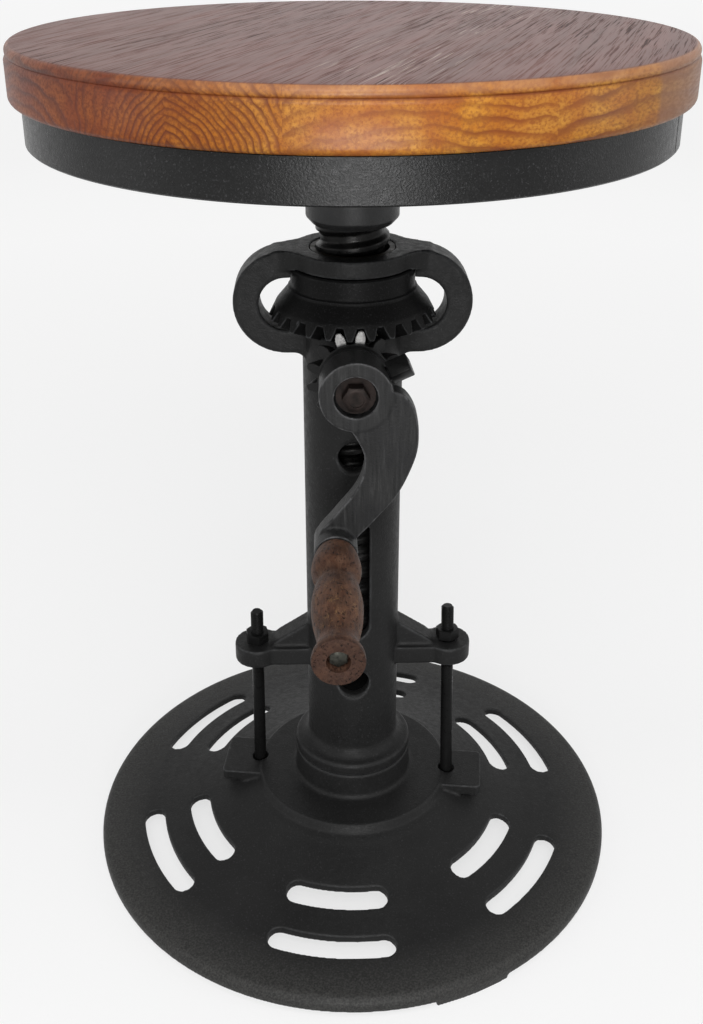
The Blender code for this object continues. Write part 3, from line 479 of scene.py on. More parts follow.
def stained_wood(name):
    """Glued boards of stained pine: rings about each board's own pith, fibre, and a dark brushed top."""
    s = Shader(name)
    board_width, first_joint = 0.1, 0.126
    middle = (SEAT_LOW + SEAT_TOP) / 2
    along = s.stretched((1, 1, 1), -GRAIN_TURN)
    _, abreast, level = s.split(along)
    across = s.math("DIVIDE", s.math("ADD", abreast, first_joint), board_width)
    board = s.math("FLOOR", across)
    outward = s.math("ABSOLUTE", s.math("SUBTRACT", board, 1.0))

    # Growth rings: the distance from a pith below the board, bent a little along the length
    bend = s.math("SUBTRACT", s.noise((5, 14, 14), 3, 0.5, along), 0.5)
    sideways = s.times(s.math("SUBTRACT", s.math("FRACT", across), 0.5), board_width)
    matched = s.times(s.math("MAXIMUM", s.math("SUBTRACT", 1.0, outward), 0.0), 0.03)
    sideways = s.math("ADD", s.math("ABSOLUTE", sideways), matched)
    sideways = s.math("MULTIPLY_ADD", bend, 0.03, sideways)
    depth = s.math("MULTIPLY_ADD", outward, 0.05, 0.034 - middle)
    upright = s.math("MULTIPLY_ADD", bend, 0.03, s.math("ADD", level, depth))
    pith = s.math("SQRT", s.math("ADD", s.math("POWER", sideways, 2), s.math("POWER", upright, 2)))
    spacing = s.math("MULTIPLY_ADD", outward, 0.0028, 0.0034)
    uneven = s.times(s.noise((22, 60, 60), 4, 0.6, along), 0.9)
    ring = s.math("FRACT", s.math("ADD", s.math("DIVIDE", pith, spacing), uneven))
    line = s.grey(ring, [(0.0, 0.4), (0.14, 0.0), (0.5, 0.08), (0.76, 0.75), (0.92, 1.0), (1.0, 0.4)])
    faint = s.grey(s.noise((8, 30, 30), 3, 0.5, along), [(0.35, 0.4), (0.6, 1.0)])
    line = s.times(line, faint)

    # Fibre along the grain, which shows as fine dots on the ends
    fine = s.noise((9, 800, 800), 3, 0.55, along)
    streak = s.noise((3.2, 70, 70), 4, 0.6, along, 0.3)
    patch = s.noise(9, 4, 0.55)
    brown, amber, gold = (0.34, 0.105, 0.008), (0.44, 0.175, 0.016), (0.54, 0.255, 0.036)
    colour = s.ramp(streak, [(0.32, brown), (0.5, amber), (0.68, gold)])
    colour = s.mix(s.times(line, 0.95), colour, (0.115, 0.022, 0.003))
    colour = s.mix(s.grey(fine, [(0.42, 0.0), (0.64, 0.7)]), colour, (0.19, 0.058, 0.01))
    colour = s.mix(s.grey(patch, [(0.45, 0.0), (0.7, 0.7)]), colour, (0.25, 0.05, 0.008))

    # Redder stain to the left, duller to the right, where a joint in the rim has a browner board behind it
    x, y, z = s.split(s.place)
    height = s.math("DIVIDE", s.math("SUBTRACT", z, SEAT_LOW), SEAT_TOP - SEAT_LOW)
    azimuth = s.math("DIVIDE", s.math("ARCTAN2", y, x), math.pi)
    leftward = s.grey(s.math("DIVIDE", x, -SEAT_RADIUS), [(0.02, 0.0), (0.6, 1.0)])
    colour = s.mix(leftward, colour, (0.47, 0.265, 0.2), "MULTIPLY")
    # On the left the upper part of the rim is darker and redder: partly stain, partly painted shade against
    # the lit lower part.
    stained = s.times(leftward, s.grey(height, [(0.3, 0.0), (0.75, 0.9)]))
    colour = s.mix(stained, colour, (0.7, 0.6, 0.8), "MULTIPLY")
    rightward = s.grey(s.math("DIVIDE", x, SEAT_RADIUS), [(0.3, 0.0), (0.8, 1.0)])
    colour = s.mix(rightward, colour, (0.8, 0.84, 0.8), "MULTIPLY")
    round_share = s.math("MULTIPLY_ADD", azimuth, 0.5, 0.5)
    behind = s.grey(round_share, [(0.3837, 0.0), (0.3847, 0.75), (0.7, 0.75), (0.72, 0.0)])
    colour = s.mix(behind, colour, (0.18, 0.077, 0.036))

    # The bead along the upper edge, painted lighter as worn varnish and as a painted highlight, and a painted
    # shade in the quirk below it
    bead = s.grey(height, [(0.83, 0.0), (0.9, 0.6)])
    bead = s.times(bead, s.grey(streak, [(0.35, 0.4), (0.6, 1.0)]))
    bead = s.times(bead, s.math("MULTIPLY_ADD", leftward, -0.8, 1.0))
    colour = s.mix(bead, colour, (0.34, 0.16, 0.085))
    # Painted shade: the quirk under the bead is darkened.
    quirk_painted_shade = s.grey(height, [(0.775, 0.0), (0.795, 0.7), (0.815, 0.7), (0.84, 0.0)])
    quirk_painted_shade = s.times(quirk_painted_shade, s.grey(patch, [(0.3, 0.4), (0.6, 1.0)]))
    colour = s.mix(quirk_painted_shade, colour, (0.12, 0.022, 0.006))

    # The top: dark stain, brushed grooves and a few pale scratches along the grain
    _, _, upward = s.split(s.add("NewGeometry").outputs["True Normal"])
    top = s.grey(upward, [(0.9, 0.0), (0.98, 1.0)])
    groove = s.noise((26, 1200, 1), 3, 0.55, along, 0.2)
    crowded = s.noise((6, 20, 1), 3, 0.5, along)
    crowded = s.grey(crowded, [(0.42, 0.12), (0.6, 0.75)])
    cut = s.times(s.grey(groove, [(0.36, 1.0), (0.43, 0.0)]), crowded)
    scratch = s.noise((24, 1000, 1), 2, 0.5, along)
    scratch = s.grey(scratch, [(0.58, 0.0), (0.66, 1.0)])
    half_across = s.times(across, 0.5)
    rubbed_board = s.grey(half_across, [(0.16, 0.1), (0.3, 1.0), (0.48, 1.0), (0.62, 0.1)])
    rubbed_board = s.times(rubbed_board, s.grey(s.noise(14, 2), [(0.42, 0.15), (0.56, 0.9)]))
    scratch = s.times(scratch, rubbed_board)
    stain = s.mix(s.grey(streak, [(0.35, 0.0), (0.65, 1.0)]), (0.098, 0.039, 0.031), (0.14, 0.057, 0.047))
    stain = s.mix(s.times(leftward, 0.5), stain, (0.1, 0.03, 0.018))
    stain = s.mix(s.times(line, 0.3), stain, (0.05, 0.018, 0.013))
    stain = s.mix(cut, stain, (0.014, 0.006, 0.005))
    stain = s.mix(scratch, stain, (0.34, 0.265, 0.225))
    s.set(Base_Color=s.mix(top, colour, stain))

    rim_gloss = s.grey(fine, [(0.3, 0.40), (0.7, 0.56)])
    s.set(Roughness=s.mix(top, rim_gloss, s.grey(groove, [(0.3, 0.72), (0.5, 0.44)])))
    rim_relief = s.times(s.math("ADD", line, fine), -0.3)
    top_relief = s.math("SUBTRACT", scratch, cut)
    s.set(Normal=s.bump(s.mix(top, rim_relief, top_relief), 0.6, 0.0006))
    s.set(Coat_Weight=s.math("MULTIPLY_ADD", top, -0.2, 0.2))
    s.set(Specular_IOR_Level=0.18, Coat_Roughness=0.27)
    return s.material


def grip_wood(name):
    """Dark, rough turned wood: pits, long fibre, and ochre flecks where the stain is worn through."""
    s = Shader(name)
    fibre = s.noise((380, 60, 380), 6, 0.7)
    blotch = s.noise(70, 5, 0.65)
    pit = s.grey(s.noise((700, 420, 700), 4, 0.6, distortion=0.5), [(0.32, 1.0), (0.42, 0.0)])
    black, umber, tan = (0.026, 0.013, 0.009), (0.06, 0.028, 0.018), (0.125, 0.06, 0.036)
    colour = s.ramp(blotch, [(0.3, black), (0.5, umber), (0.7, tan)])
    colour = s.mix(s.grey(fibre, [(0.45, 0.0), (0.68, 0.6)]), colour, (0.15, 0.085, 0.055))
    _, y, _ = s.split(s.place)
    inward = s.math("DIVIDE", s.math("ADD", y, GRIP_FRONT), GRIP_FRONT - GRIP_BACK)
    worn_part = s.grey(inward, [(0.12, 0.0), (0.22, 1.0), (0.5, 0.7), (0.62, 0.0)])
    end_grain = s.grey(inward, [(0.012, 0.55), (0.03, 0.0)])
    fleck = s.grey(s.noise((260, 170, 260), 6, 0.8, distortion=0.6), [(0.54, 0.0), (0.7, 0.8)])
    ochre = s.ramp(s.noise(150, 3), [(0.4, (0.2, 0.075, 0.035)), (0.6, (0.33, 0.2, 0.085))])
    colour = s.mix(s.times(fleck, worn_part), colour, ochre)
    colour = s.mix(end_grain, colour, (0.024, 0.012, 0.009))
    s.set(Base_Color=s.mix(pit, colour, (0.008, 0.005, 0.004)))
    s.set(Roughness=s.grey(fibre, [(0.3, 0.42), (0.7, 0.68)]))
    s.set(Normal=s.bump(s.math("SUBTRACT", fibre, pit), 0.8, 0.0007))
    s.set(Specular_IOR_Level=0.12)
    return s.material


def steel(name, dark, light, rough, metallic=1.0, scale=60):
    """Bare, oiled or browned steel with uneven tarnish."""
    s = Shader(name)
    tarnish = s.noise(scale, 6, 0.65)
    s.set(Base_Color=s.ramp(tarnish, [(0.3, dark), (0.7, light)]))
    s.set(Roughness=s.grey(s.noise(scale * 4, 3), [(0.3, rough - 0.1), (0.7, rough + 0.12)]))
    s.set(Normal=s.bump(s.noise(1400, 3), 0.15, 0.0003, s.bump(tarnish, 0.2, 0.0006)))
    s.set(Metallic=metallic, Specular_IOR_Level=0.15)
    return s.material


def worn_pinion(name):
    """Black gear iron whose two teeth in mesh are rubbed bright."""
    s = Shader(name)
    x, _, z = s.split(s.place)
    lift = s.math("SUBTRACT", z, SHAFT_HEIGHT)
    reach = s.math("SQRT", s.math("ADD", s.math("POWER", x, 2), s.math("POWER", lift, 2)))
    lean = s.math("ARCTAN2", x, lift)
    lean_share = s.math("MULTIPLY_ADD", lean, 0.5, 0.5)
    in_mesh = s.grey(lean_share, [(0.18, 0.0), (0.2, 1.0), (0.62, 1.0), (0.64, 0.0)])
    flank = s.grey(s.math("DIVIDE", reach, 30 * MM), [(0.68, 0.0), (0.72, 1.0)])
    scuff = s.grey(s.noise(260, 5, 0.7), [(0.25, 0.5), (0.5, 1.0)])
    bright = s.times(s.times(flank, in_mesh), scuff)
    s.set(Base_Color=s.mix(bright, (0.012, 0.012, 0.012), (0.3, 0.295, 0.29)))
    s.set(Roughness=s.grey(s.noise(300, 3), [(0.3, 0.38), (0.7, 0.55)]))
    s.set(Metallic=s.times(bright, 0.7))
    s.set(Normal=s.bump(s.noise(900, 3, 0.6), 0.35, 0.0005))
    s.set(Specular_IOR_Level=0.12)
    return s.material


# Pieces of the stand
def slot_outline(radius, start, end, width):
    """A slot along an arc, with half-round ends."""
    half = width / 2
    first, last = arc((0, 0), radius, start, end, 1)
    outline = arc((0, 0), radius + half, start, end, 24)
    outline += arc(last, half, end, end + 180, 12)[1:-1]
    outline += arc((0, 0), radius - half, end, start, 24)
    outline += arc(first, half, start + 180, start + 360, 12)[1:-1]
    return outline


def make_base():
    """The domed foot plate with its socket, lugs, feet and arc slots."""
    turn = Matrix.Rotation(BASE_TWIST, 4, "Z")
    rim, wall, fillet, lip = 3 * MM, 5 * MM, 3 * MM, 5.5 * MM
    shell = [(72, 33.5), (86, 28.6), (101, 23.5), (115, 19.4), (130.5, 16), (144, 13.7), (155, 12.5)]
    shell = [(radius * MM, height * MM) for radius, height in shell]
    top = [(FLANGE_RADIUS - 1 * MM, SOCKET_TOP), (FLANGE_RADIUS, SOCKET_TOP - 1 * MM)]
    top += arc((FLANGE_RADIUS + fillet, DECK_HEIGHT + fillet), fillet, 180, 270, 5)
    top += [(DECK_RADIUS - 1 * MM, DECK_HEIGHT), (DECK_RADIUS, DECK_HEIGHT - 1 * MM)]
    top += [(DECK_RADIUS + 2 * MM, DECK_HEIGHT - 5 * MM), (DECK_RADIUS + 6 * MM, DECK_HEIGHT - 6.4 * MM)]
    edge = arc((BASE_RADIUS - lip, rim + 3.2 * MM), lip, 80, 0, 8)
    edge += [(BASE_RADIUS, rim), (BASE_RADIUS - 6 * MM, rim)]
    under = [(radius, height - wall) for radius, height in reversed(shell)]
    ceiling = DECK_HEIGHT - DECK_THICKNESS
    bore = COLUMN_RADIUS - 0.4 * MM
    hollow = [(DECK_RADIUS, ceiling), (bore, ceiling), (bore, SOCKET_TOP)]
    base = turned("base_skin", top + shell + edge + under + hollow, steps=160, turn=turn)
    steps = []
    inner, outer = FLANGE_RADIUS + 4 * MM, 86 * MM
    half_width, corner = 18 * MM, 3 * MM
    for side in (1, -1):
        lug = arc((outer - corner, corner - half_width), corner, -90, 0, 6)
        lug += arc((outer - corner, half_width - corner), corner, 0, 90, 6)
        lug += [(inner, half_width), (inner, -half_width)]
        lug = [(side * x, side * y) for x, y in lug]
        steps.append(("UNION", plate("lug", lug, ceiling + 0.5 * MM, DECK_HEIGHT - 0.6 * MM, turn)))
    foot_half, foot_depth = 8, 10 * MM
    for foot in range(3):
        middle = 120 * foot + 60
        ring = arc((0, 0), BASE_RADIUS - 0.2 * MM, middle - foot_half, middle + foot_half, 12)
        ring += arc((0, 0), BASE_RADIUS - foot_depth, middle + foot_half, middle - foot_half, 12)
        steps.append(("UNION", plate("foot", ring, 0, rim + 3 * MM, turn)))
    slot_half, slot_width = 13.6, 13.2 * MM
    for radius in (103.5 * MM, 134 * MM):
        for sector in range(6):
            middle = -90 + 60 * sector
            outline = slot_outline(radius, middle - slot_half, middle + slot_half, slot_width)
            steps.append(("DIFFERENCE", plate("slot", outline, 0, DECK_HEIGHT, turn)))
    for side in (1, -1):
        at = turn @ Matrix.Translation((side * LUG_REACH, 0, 0))
        steps.append(("DIFFERENCE", rod("lug_hole", ROD_HOLE, rim, SOCKET_TOP, turn=at)))
    carve(base, steps)
    return soften(base, voxel=0.7 * MM, rounds=7)


def boss_outline():
    """The top boss in plan: a circle that runs out into the loop's bar with fillets."""
    radius, fillet, half_bar = 34 * MM, 20 * MM, 10.3 * MM
    side = half_bar + fillet
    reach = math.sqrt((radius + fillet) ** 2 - side**2)
    angle = math.degrees(math.atan2(side, reach))
    right = arc((reach, side), fillet, 270, 180 + angle, 12)
    crown = arc((0, 0), radius, angle, 180 - angle, 32)[1:-1]
    back = right + crown + [(-x, y) for x, y in reversed(right)]
    return back + [(-x, -y) for x, y in back]


def make_column():
    """Column, flange, rod arms and yoke loop as one casting."""
    fillet = 8 * MM
    spigot = COLUMN_RADIUS - 0.7 * MM
    spigot_low = COLUMN_FOOT - 20 * MM
    profile = [(0, COLUMN_TOP), (COLUMN_RADIUS, COLUMN_TOP)]
    profile += arc((COLUMN_RADIUS + fillet, COLUMN_FOOT + 2 * fillet), fillet, 180, 265, 10)
    profile += [(FLANGE_RADIUS, COLUMN_FOOT + 6.5 * MM), (FLANGE_RADIUS, COLUMN_FOOT)]
    profile += [(spigot, COLUMN_FOOT), (spigot, spigot_low), (0, spigot_low)]
    column = turned("column_skin", profile, steps=120, ring=False)
    window_low, window_top = COLUMN_TOP - 0.5 * MM, COLUMN_TOP + 30 * MM
    loop_low, loop_top = 340 * MM, window_top + 15 * MM
    loop_depth, window_half = 10.5 * MM, 52.5 * MM
    trunk = COLUMN_RADIUS - 3 * MM
    tuck = loop_low - fillet
    right = [(trunk, tuck - fillet)] + arc((trunk + fillet, tuck), fillet, 180, 90, 10)
    left = [(-x, y) for x, y in reversed(right)]
    loop = right + stadium(LOOP_HALF, loop_low, loop_top) + left
    boss_top = high("column_casting", 2)
    boss_low = boss_top - 9.7 * MM
    boss = plate("boss", boss_outline(), boss_low - 1 * MM, boss_top)
    crown = stadium(LOOP_HALF, loop_low, boss_top)
    carve(boss, [("INTERSECT", plate("crown", crown, -40 * MM, 40 * MM, FACING))])
    window = stadium(window_half, window_low, window_top)
    steps = [
        ("UNION", plate("loop", loop, -loop_depth, loop_depth, FACING)),
        ("DIFFERENCE", plate("window", window, -30 * MM, 30 * MM, FACING)),
        ("UNION", boss),
    ]
    arm_half, arm_depth, gusset_half = 11 * MM, 12 * MM, 7.5 * MM
    neck = math.degrees(math.asin(arm_half / EAR_RADIUS))
    arms = arc((EAR_REACH, 0), EAR_RADIUS, neck - 180, 180 - neck, 40)
    arms += arc((-EAR_REACH, 0), EAR_RADIUS, neck, 360 - neck, 40)
    steps.append(("UNION", plate("arms", arms, ARM_TOP - arm_depth, ARM_TOP)))
    shoulder = EAR_REACH - EAR_RADIUS
    gusset = [(shoulder + 8 * MM, ARM_TOP - 2 * MM), (shoulder, ARM_TOP + 5 * MM)]
    gusset.append((COLUMN_RADIUS - 1 * MM, ARM_TOP + 17.5 * MM))
    gusset += [(-x, y) for x, y in reversed(gusset)]
    steps.append(("UNION", plate("gusset", gusset, -gusset_half, gusset_half, FACING)))
    inside, axle_boss = 10 * MM, 11 * MM
    boss_front = -high("bevel_pinion", 1) - RUNNING_GAP
    steps.append(("UNION", rod("axle_boss", axle_boss, inside, boss_front, turn=FORWARD)))
    gear_room, gear_seat = 35.6 * MM, window_low + 5 * MM
    steps.append(("DIFFERENCE", rod("gear_seat", gear_room, gear_seat, boss_low, 96)))
    bush = SCREW_RADIUS + 3.6 * MM
    steps.append(("DIFFERENCE", rod("bush_bore", bush, boss_low - 1 * MM, boss_top + 20 * MM, 96)))
    for height, radius in ((282 * MM, 9 * MM), (125 * MM, 9.5 * MM)):
        at = Matrix.Translation((0, 0, height)) @ FACING
        drill = [
            (0, COLUMN_RADIUS + 2 * MM), (radius + 4 * MM, COLUMN_RADIUS + 2 * MM),
            (radius, COLUMN_RADIUS - 2 * MM), (radius, inside), (0, inside),
        ]
        steps.append(("DIFFERENCE", turned("front_hole", drill, 48, False, at)))
    slot_middle, slot_half_length, slot_half = 200 * MM, 42 * MM, 9.5 * MM
    upright = Matrix.Translation((0, 0, slot_middle)) @ FACING @ Matrix.Rotation(math.pi / 2, 4, "Z")
    slot = stadium(slot_half_length, -slot_half, slot_half)
    steps.append(("DIFFERENCE", plate("front_slot", slot, inside, COLUMN_RADIUS + 5 * MM, upright)))
    steps.append(("DIFFERENCE", rod("axle_hole", BOLT_HOLE, 0, 60 * MM, turn=FORWARD)))
    for side in (1, -1):
        at = Matrix.Translation((side * EAR_REACH, 0, 0))
        steps.append(("DIFFERENCE", rod("ear_hole", ROD_HOLE, ARM_TOP - 30 * MM, ARM_TOP + 30 * MM, turn=at)))
    steps.append(("DIFFERENCE", rod("bore", SCREW_BORE, 0, gear_seat, 96)))
    carve(column, steps)
    return soften(column, voxel=0.9 * MM, rounds=6)


def thread(name, radius, depth, lead, start, end, turn=None, sides=48):
    """A solid rod with a helical trapezoid thread, as a skin of rings whose radius follows the helix."""
    shape = bmesh.new()
    rows_per_turn, crest_half, flank = 16, 0.28, 0.36
    rows = int((end - start) / lead * rows_per_turn)
    rings = []
    for row in range(rows + 1):
        height = start + (end - start) * row / rows
        ring = []
        for side in range(sides):
            angle = 2 * math.pi * side / sides
            phase = ((height - start) / lead - angle / (2 * math.pi)) % 1.0
            swing = min(phase, 1 - phase) * 2
            sunk = min(1.0, max(0.0, (swing - crest_half) / flank))
            reach = radius - depth * sunk
            ring.append(shape.verts.new((reach * math.cos(angle), reach * math.sin(angle), height)))
        rings.append(ring)
    for lower, upper in zip(rings, rings[1:]):
        for side in range(sides):
            following = (side + 1) % sides
            shape.faces.new((lower[side], lower[following], upper[following], upper[side]))
    shape.faces.new(rings[0][::-1])
    shape.faces.new(rings[-1])
    return shade(from_bmesh(name, shape, turn), 50)


def hexagon(name, flats, start, end, turn=None, bore=None, chamfer_both=True):
    """A hex nut or head with turned corners."""
    corner = flats / math.sqrt(3)
    body = rod(name, corner, start, end, 6, turn)
    clear = corner + 0.2 * MM
    bevel = (corner - flats / 2) * 0.62
    face = flats / 2 * 0.98
    top = [(0, end + 1 * MM), (face - 1 * MM, end + 1 * MM), (face, end), (clear, end - bevel)]
    if chamfer_both:
        bottom = [(clear, start + bevel), (face, start), (face - 1 * MM, start - 1 * MM), (0, start - 1 * MM)]
    else:
        bottom = [(clear, start - 1 * MM), (0, start - 1 * MM)]
    steps = [("INTERSECT", turned("corners", top + bottom, 48, False, turn))]
    if bore:
        steps.append(("DIFFERENCE", rod("bore", bore, start - 2 * MM, end + 2 * MM, 32, turn)))
    return shade(carve(body, steps), 25)


def rod_lean(side):
    """A tie rod's place and lean, its length up to the ear's top, and what its nuts stand off by."""
    foot = Vector((side * LUG_REACH, 0, DECK_HEIGHT))
    foot.rotate(Matrix.Rotation(BASE_TWIST, 3, "Z"))
    along = Vector((side * EAR_REACH, 0, ARM_TOP)) - foot
    turn = Matrix.Translation(foot) @ along.to_track_quat("Z", "Y").to_matrix().to_4x4()
    nut_corner, gap = 7.5 * MM, 0.15 * MM
    return turn, along.length, nut_corner * math.tan(along.angle(Vector((0, 0, 1)))) + gap


def make_tie_rod(name, side):
    """A long bolt, threaded where the nut sits, with its head under the base."""
    turn, length, lift = rod_lean(side)
    under = -DECK_THICKNESS - lift
    end = length + 23.4 * MM
    thread_low = length - 20 * MM
    shank, head_height, overlap = 3.9 * MM, 5.3 * MM, 0.2 * MM
    cap_low = end - 1.2 * MM
    body = rod(name, shank, under - 2 * MM, thread_low, 32, turn)
    tip = thread("tip", BOLT_RADIUS, 0.45 * MM, BOLT_PITCH, thread_low - overlap, cap_low, turn, 24)
    cap = rod("cap", 3.5 * MM, cap_low - overlap, end, 24, turn, end_radius=2.9 * MM)
    head = hexagon("head", BOLT_FLATS, under - head_height, under, turn)
    return join_meshes(body, [tip, cap, head])


# Pieces of the drive
def involute(angle):
    """The involute function of a pressure angle."""
    return math.tan(angle) - angle


def gap_half_angle(height, teeth, cone):
    """Half the gap between two teeth, as a turn of the gear, at a height above the pitch line."""
    virtual_teeth = teeth / math.cos(cone)
    pitch = MODULE * virtual_teeth / 2
    base = pitch * math.cos(PRESSURE_ANGLE)
    radius = max(pitch + height, base)
    flank = involute(PRESSURE_ANGLE) - involute(math.acos(base / radius))
    tooth = math.pi / (2 * virtual_teeth) - BACKLASH / (2 * pitch) + flank
    return (math.pi / virtual_teeth - tooth) / math.cos(cone)


def on_back_cone(height, angle, teeth, cone, share):
    """A point at a height above the pitch line, drawn in towards the apex by a share."""
    pitch = MODULE * teeth / 2
    radius = pitch + height * math.cos(cone)
    along = pitch / math.tan(cone) - height * math.sin(cone)
    return Vector((radius * math.cos(angle), radius * math.sin(angle), along)) * share


def cone_point(height, teeth, cone, share):
    """The same without a turn, as (radius, height)."""
    point = on_back_cone(height, 0, teeth, cone, share)
    return point.x, point.z


def tooth_gaps(teeth, cone, first_angle, turn):
    """Cutters for all the gaps of a bevel gear with its apex at the origin."""
    rows, inner_share, outer_share = 6, TOE - 0.04, 1.07
    heights = [-DEDENDUM + (DEDENDUM + ADDENDUM) * i / rows for i in range(rows + 1)] + [1.8 * ADDENDUM]
    halves = [gap_half_angle(min(height, ADDENDUM), teeth, cone) for height in heights]
    outline = [(height, -half) for height, half in zip(heights, halves)]
    outline += [(height, half) for height, half in zip(heights[::-1], halves[::-1])]
    shape = bmesh.new()
    for tooth in range(teeth):
        middle = first_angle + tooth * 2 * math.pi / teeth
        ends = []
        for share in (inner_share, outer_share):
            corners = [
                shape.verts.new(on_back_cone(height, middle + half, teeth, cone, share))
                for height, half in outline
            ]
            ends.append(shape.faces.new(corners))
        bmesh.ops.bridge_loops(shape, edges=[edge for face in ends for edge in face.edges])
    bmesh.ops.recalc_face_normals(shape, faces=shape.faces)
    return from_bmesh("gaps", shape, turn)


def make_gear():
    """The large bevel gear with its collar and dished back."""
    at = Matrix.Translation((0, 0, SHAFT_HEIGHT))
    bore, collar, bead = SCREW_RADIUS + RUNNING_GAP, 35 * MM, 36.4 * MM
    rim = cone_point(ADDENDUM - 9 * MM, GEAR_TEETH, GEAR_CONE, 1)
    top = high("bevel_gear", 2) - SHAFT_HEIGHT
    foot, hub = 356.2 * MM - SHAFT_HEIGHT, bore + 6 * MM
    root = cone_point(-DEDENDUM, GEAR_TEETH, GEAR_CONE, TOE)
    profile = [
        (bore, top), (collar - 1 * MM, top), (collar, top - 1 * MM), (collar, top - 11.4 * MM),
        (bead, top - 12 * MM), (bead, top - 13.2 * MM), rim,
        cone_point(ADDENDUM, GEAR_TEETH, GEAR_CONE, 1), cone_point(ADDENDUM, GEAR_TEETH, GEAR_CONE, TOE),
        root, (hub, max(foot, root[1] - 3 * MM)), (hub, foot), (bore, foot),
    ]
    gear = turned("gear_skin", profile, 150, turn=at)
    carve(gear, [("DIFFERENCE", tooth_gaps(GEAR_TEETH, GEAR_CONE, REST_TURN - math.pi / 2, at))])
    return soften(gear, voxel=0.5 * MM, rounds=4)


def make_pinion():
    """The small bevel gear on its sleeve."""
    bore, sleeve, hub = BOLT_HOLE, 9.8 * MM, 53.7 * MM
    front = -low("bevel_pinion", 1)
    back = -high("bevel_pinion", 1)
    heel_root = cone_point(-1.3 * DEDENDUM, PINION_TEETH, PINION_CONE, 1)
    root = cone_point(-DEDENDUM, PINION_TEETH, PINION_CONE, TOE)
    heel = cone_point(ADDENDUM, PINION_TEETH, PINION_CONE, 1)
    toe = cone_point(ADDENDUM, PINION_TEETH, PINION_CONE, TOE)
    profile = [
        (bore, front), (sleeve, front), (sleeve, hub), (heel_root[0] - 1 * MM, hub),
        (heel_root[0], hub - 1 * MM), heel_root, heel, toe, (root[0] - 1 * MM, back), (bore, back),
    ]
    pinion = turned("pinion_skin", profile, 104, turn=FORWARD)
    first = math.pi / 2 - REST_TURN * GEAR_TEETH / PINION_TEETH + math.pi / PINION_TEETH
    carve(pinion, [("DIFFERENCE", tooth_gaps(PINION_TEETH, PINION_CONE, first, FORWARD))])
    return soften(pinion, voxel=0.4 * MM, rounds=4)


def make_crank_arm():
    """The bowed arm, its hub with counterbore, and the boss that carries the grip."""
    bow = [
        (12, 3.5), (24, 2), (31, -7.5), (33.2, -20), (31.8, -35), (23.2, -55.8), (12, -70.5),
        (2, -82), (-11, -95), (-21, -84), (-11.5, -69.5), (-0.5, -55), (4.2, -43), (4, -32),
        (-2, -20), (-8, -12), (0, 0),
    ]
    outline = smooth_outline([(x * MM, y * MM) for x, y in bow])
    arm_back, arm_front = 62.7 * MM, 73.7 * MM
    hub, hub_back, hub_front = 19.5 * MM, 54 * MM, 74 * MM
    boss, boss_back, boss_front = 12 * MM, 61.7 * MM, 83 * MM
    sleeve, counterbore, counterbore_back = 10.1 * MM, 11.5 * MM, 68 * MM
    past = 100 * MM
    arm = plate("crank_skin", outline, arm_back, arm_front, FORWARD)
    carve(arm, [
        ("UNION", rod("hub", hub, hub_back, hub_front, 96, FORWARD)),
        ("UNION", rod("end", boss, boss_back, boss_front, 64, GRIP_AXIS)),
        ("DIFFERENCE", rod("sleeve", sleeve, 0, past, 64, FORWARD)),
        ("DIFFERENCE", rod("counterbore", counterbore, counterbore_back, past, 64, FORWARD)),
        ("DIFFERENCE", rod("grip_hole", BOLT_HOLE, 0, past, 32, GRIP_AXIS)),
        ("DIFFERENCE", rod("set_hole", BOLT_HOLE, 0, 60 * MM, 32, SET_SCREW)),
    ])
    return soften(arm, voxel=0.6 * MM, rounds=6)


def make_set_screw():
    """The square-headed screw in the crank's hub."""
    across, head_low, head_top = 10 * MM, 19.8 * MM, 31.8 * MM
    shank = rod("set_screw_skin", BOLT_RADIUS, 10.1 * MM, head_low + 1.2 * MM, 32, SET_SCREW)
    square = rod("square", across / math.sqrt(2), head_low, head_top, 4, SET_SCREW)
    ease(square, 0.8 * MM)
    return join_meshes(shank, [square])


def make_axle_bolt():
    """The fixed axle with a dished hex head."""
    start = -high("axle_bolt", 1)
    end = -low("axle_bolt", 1)
    head_height, dish, dish_depth = 6.4 * MM, 4.3 * MM, 0.6 * MM
    shank = rod("axle_skin", BOLT_RADIUS, start, end - 3 * MM, 32, FORWARD)
    flat_up = FORWARD @ Matrix.Rotation(math.pi / 6, 4, "Z")
    head = hexagon("head", BOLT_FLATS, end - head_height, end, flat_up, chamfer_both=False)
    carve(head, [("DIFFERENCE", rod("dish", dish, end - dish_depth, end + 1 * MM, 32, FORWARD))])
    return join_meshes(shank, [head])


def make_grip():
    """The turned grip with its bulges, necks and end recess."""
    stations = (
        (0.0, 0.82), (0.062, 0.925), (0.144, 1.0), (0.215, 0.95), (0.29, 0.77),
        (0.369, 0.89), (0.508, 0.993), (0.656, 0.94), (0.769, 0.82), (0.846, 0.761),
        (0.903, 0.836), (0.949, 0.948), (0.979, 0.978), (1.0, 0.963),
    )
    length, radius = GRIP_FRONT - GRIP_BACK, 13.4 * MM
    outside = smooth_profile([(GRIP_BACK + length * along, radius * swell) for along, swell in stations])
    recess, mouth = GRIP_FRONT - 8 * MM, 5.9 * MM
    inside = [(BOLT_HOLE, GRIP_BACK), (BOLT_HOLE, recess), (mouth, recess), (mouth, GRIP_FRONT)]
    grip = turned("grip_skin", outside[::-1] + inside, 64, turn=GRIP_AXIS)
    return ease(grip, 0.5 * MM)


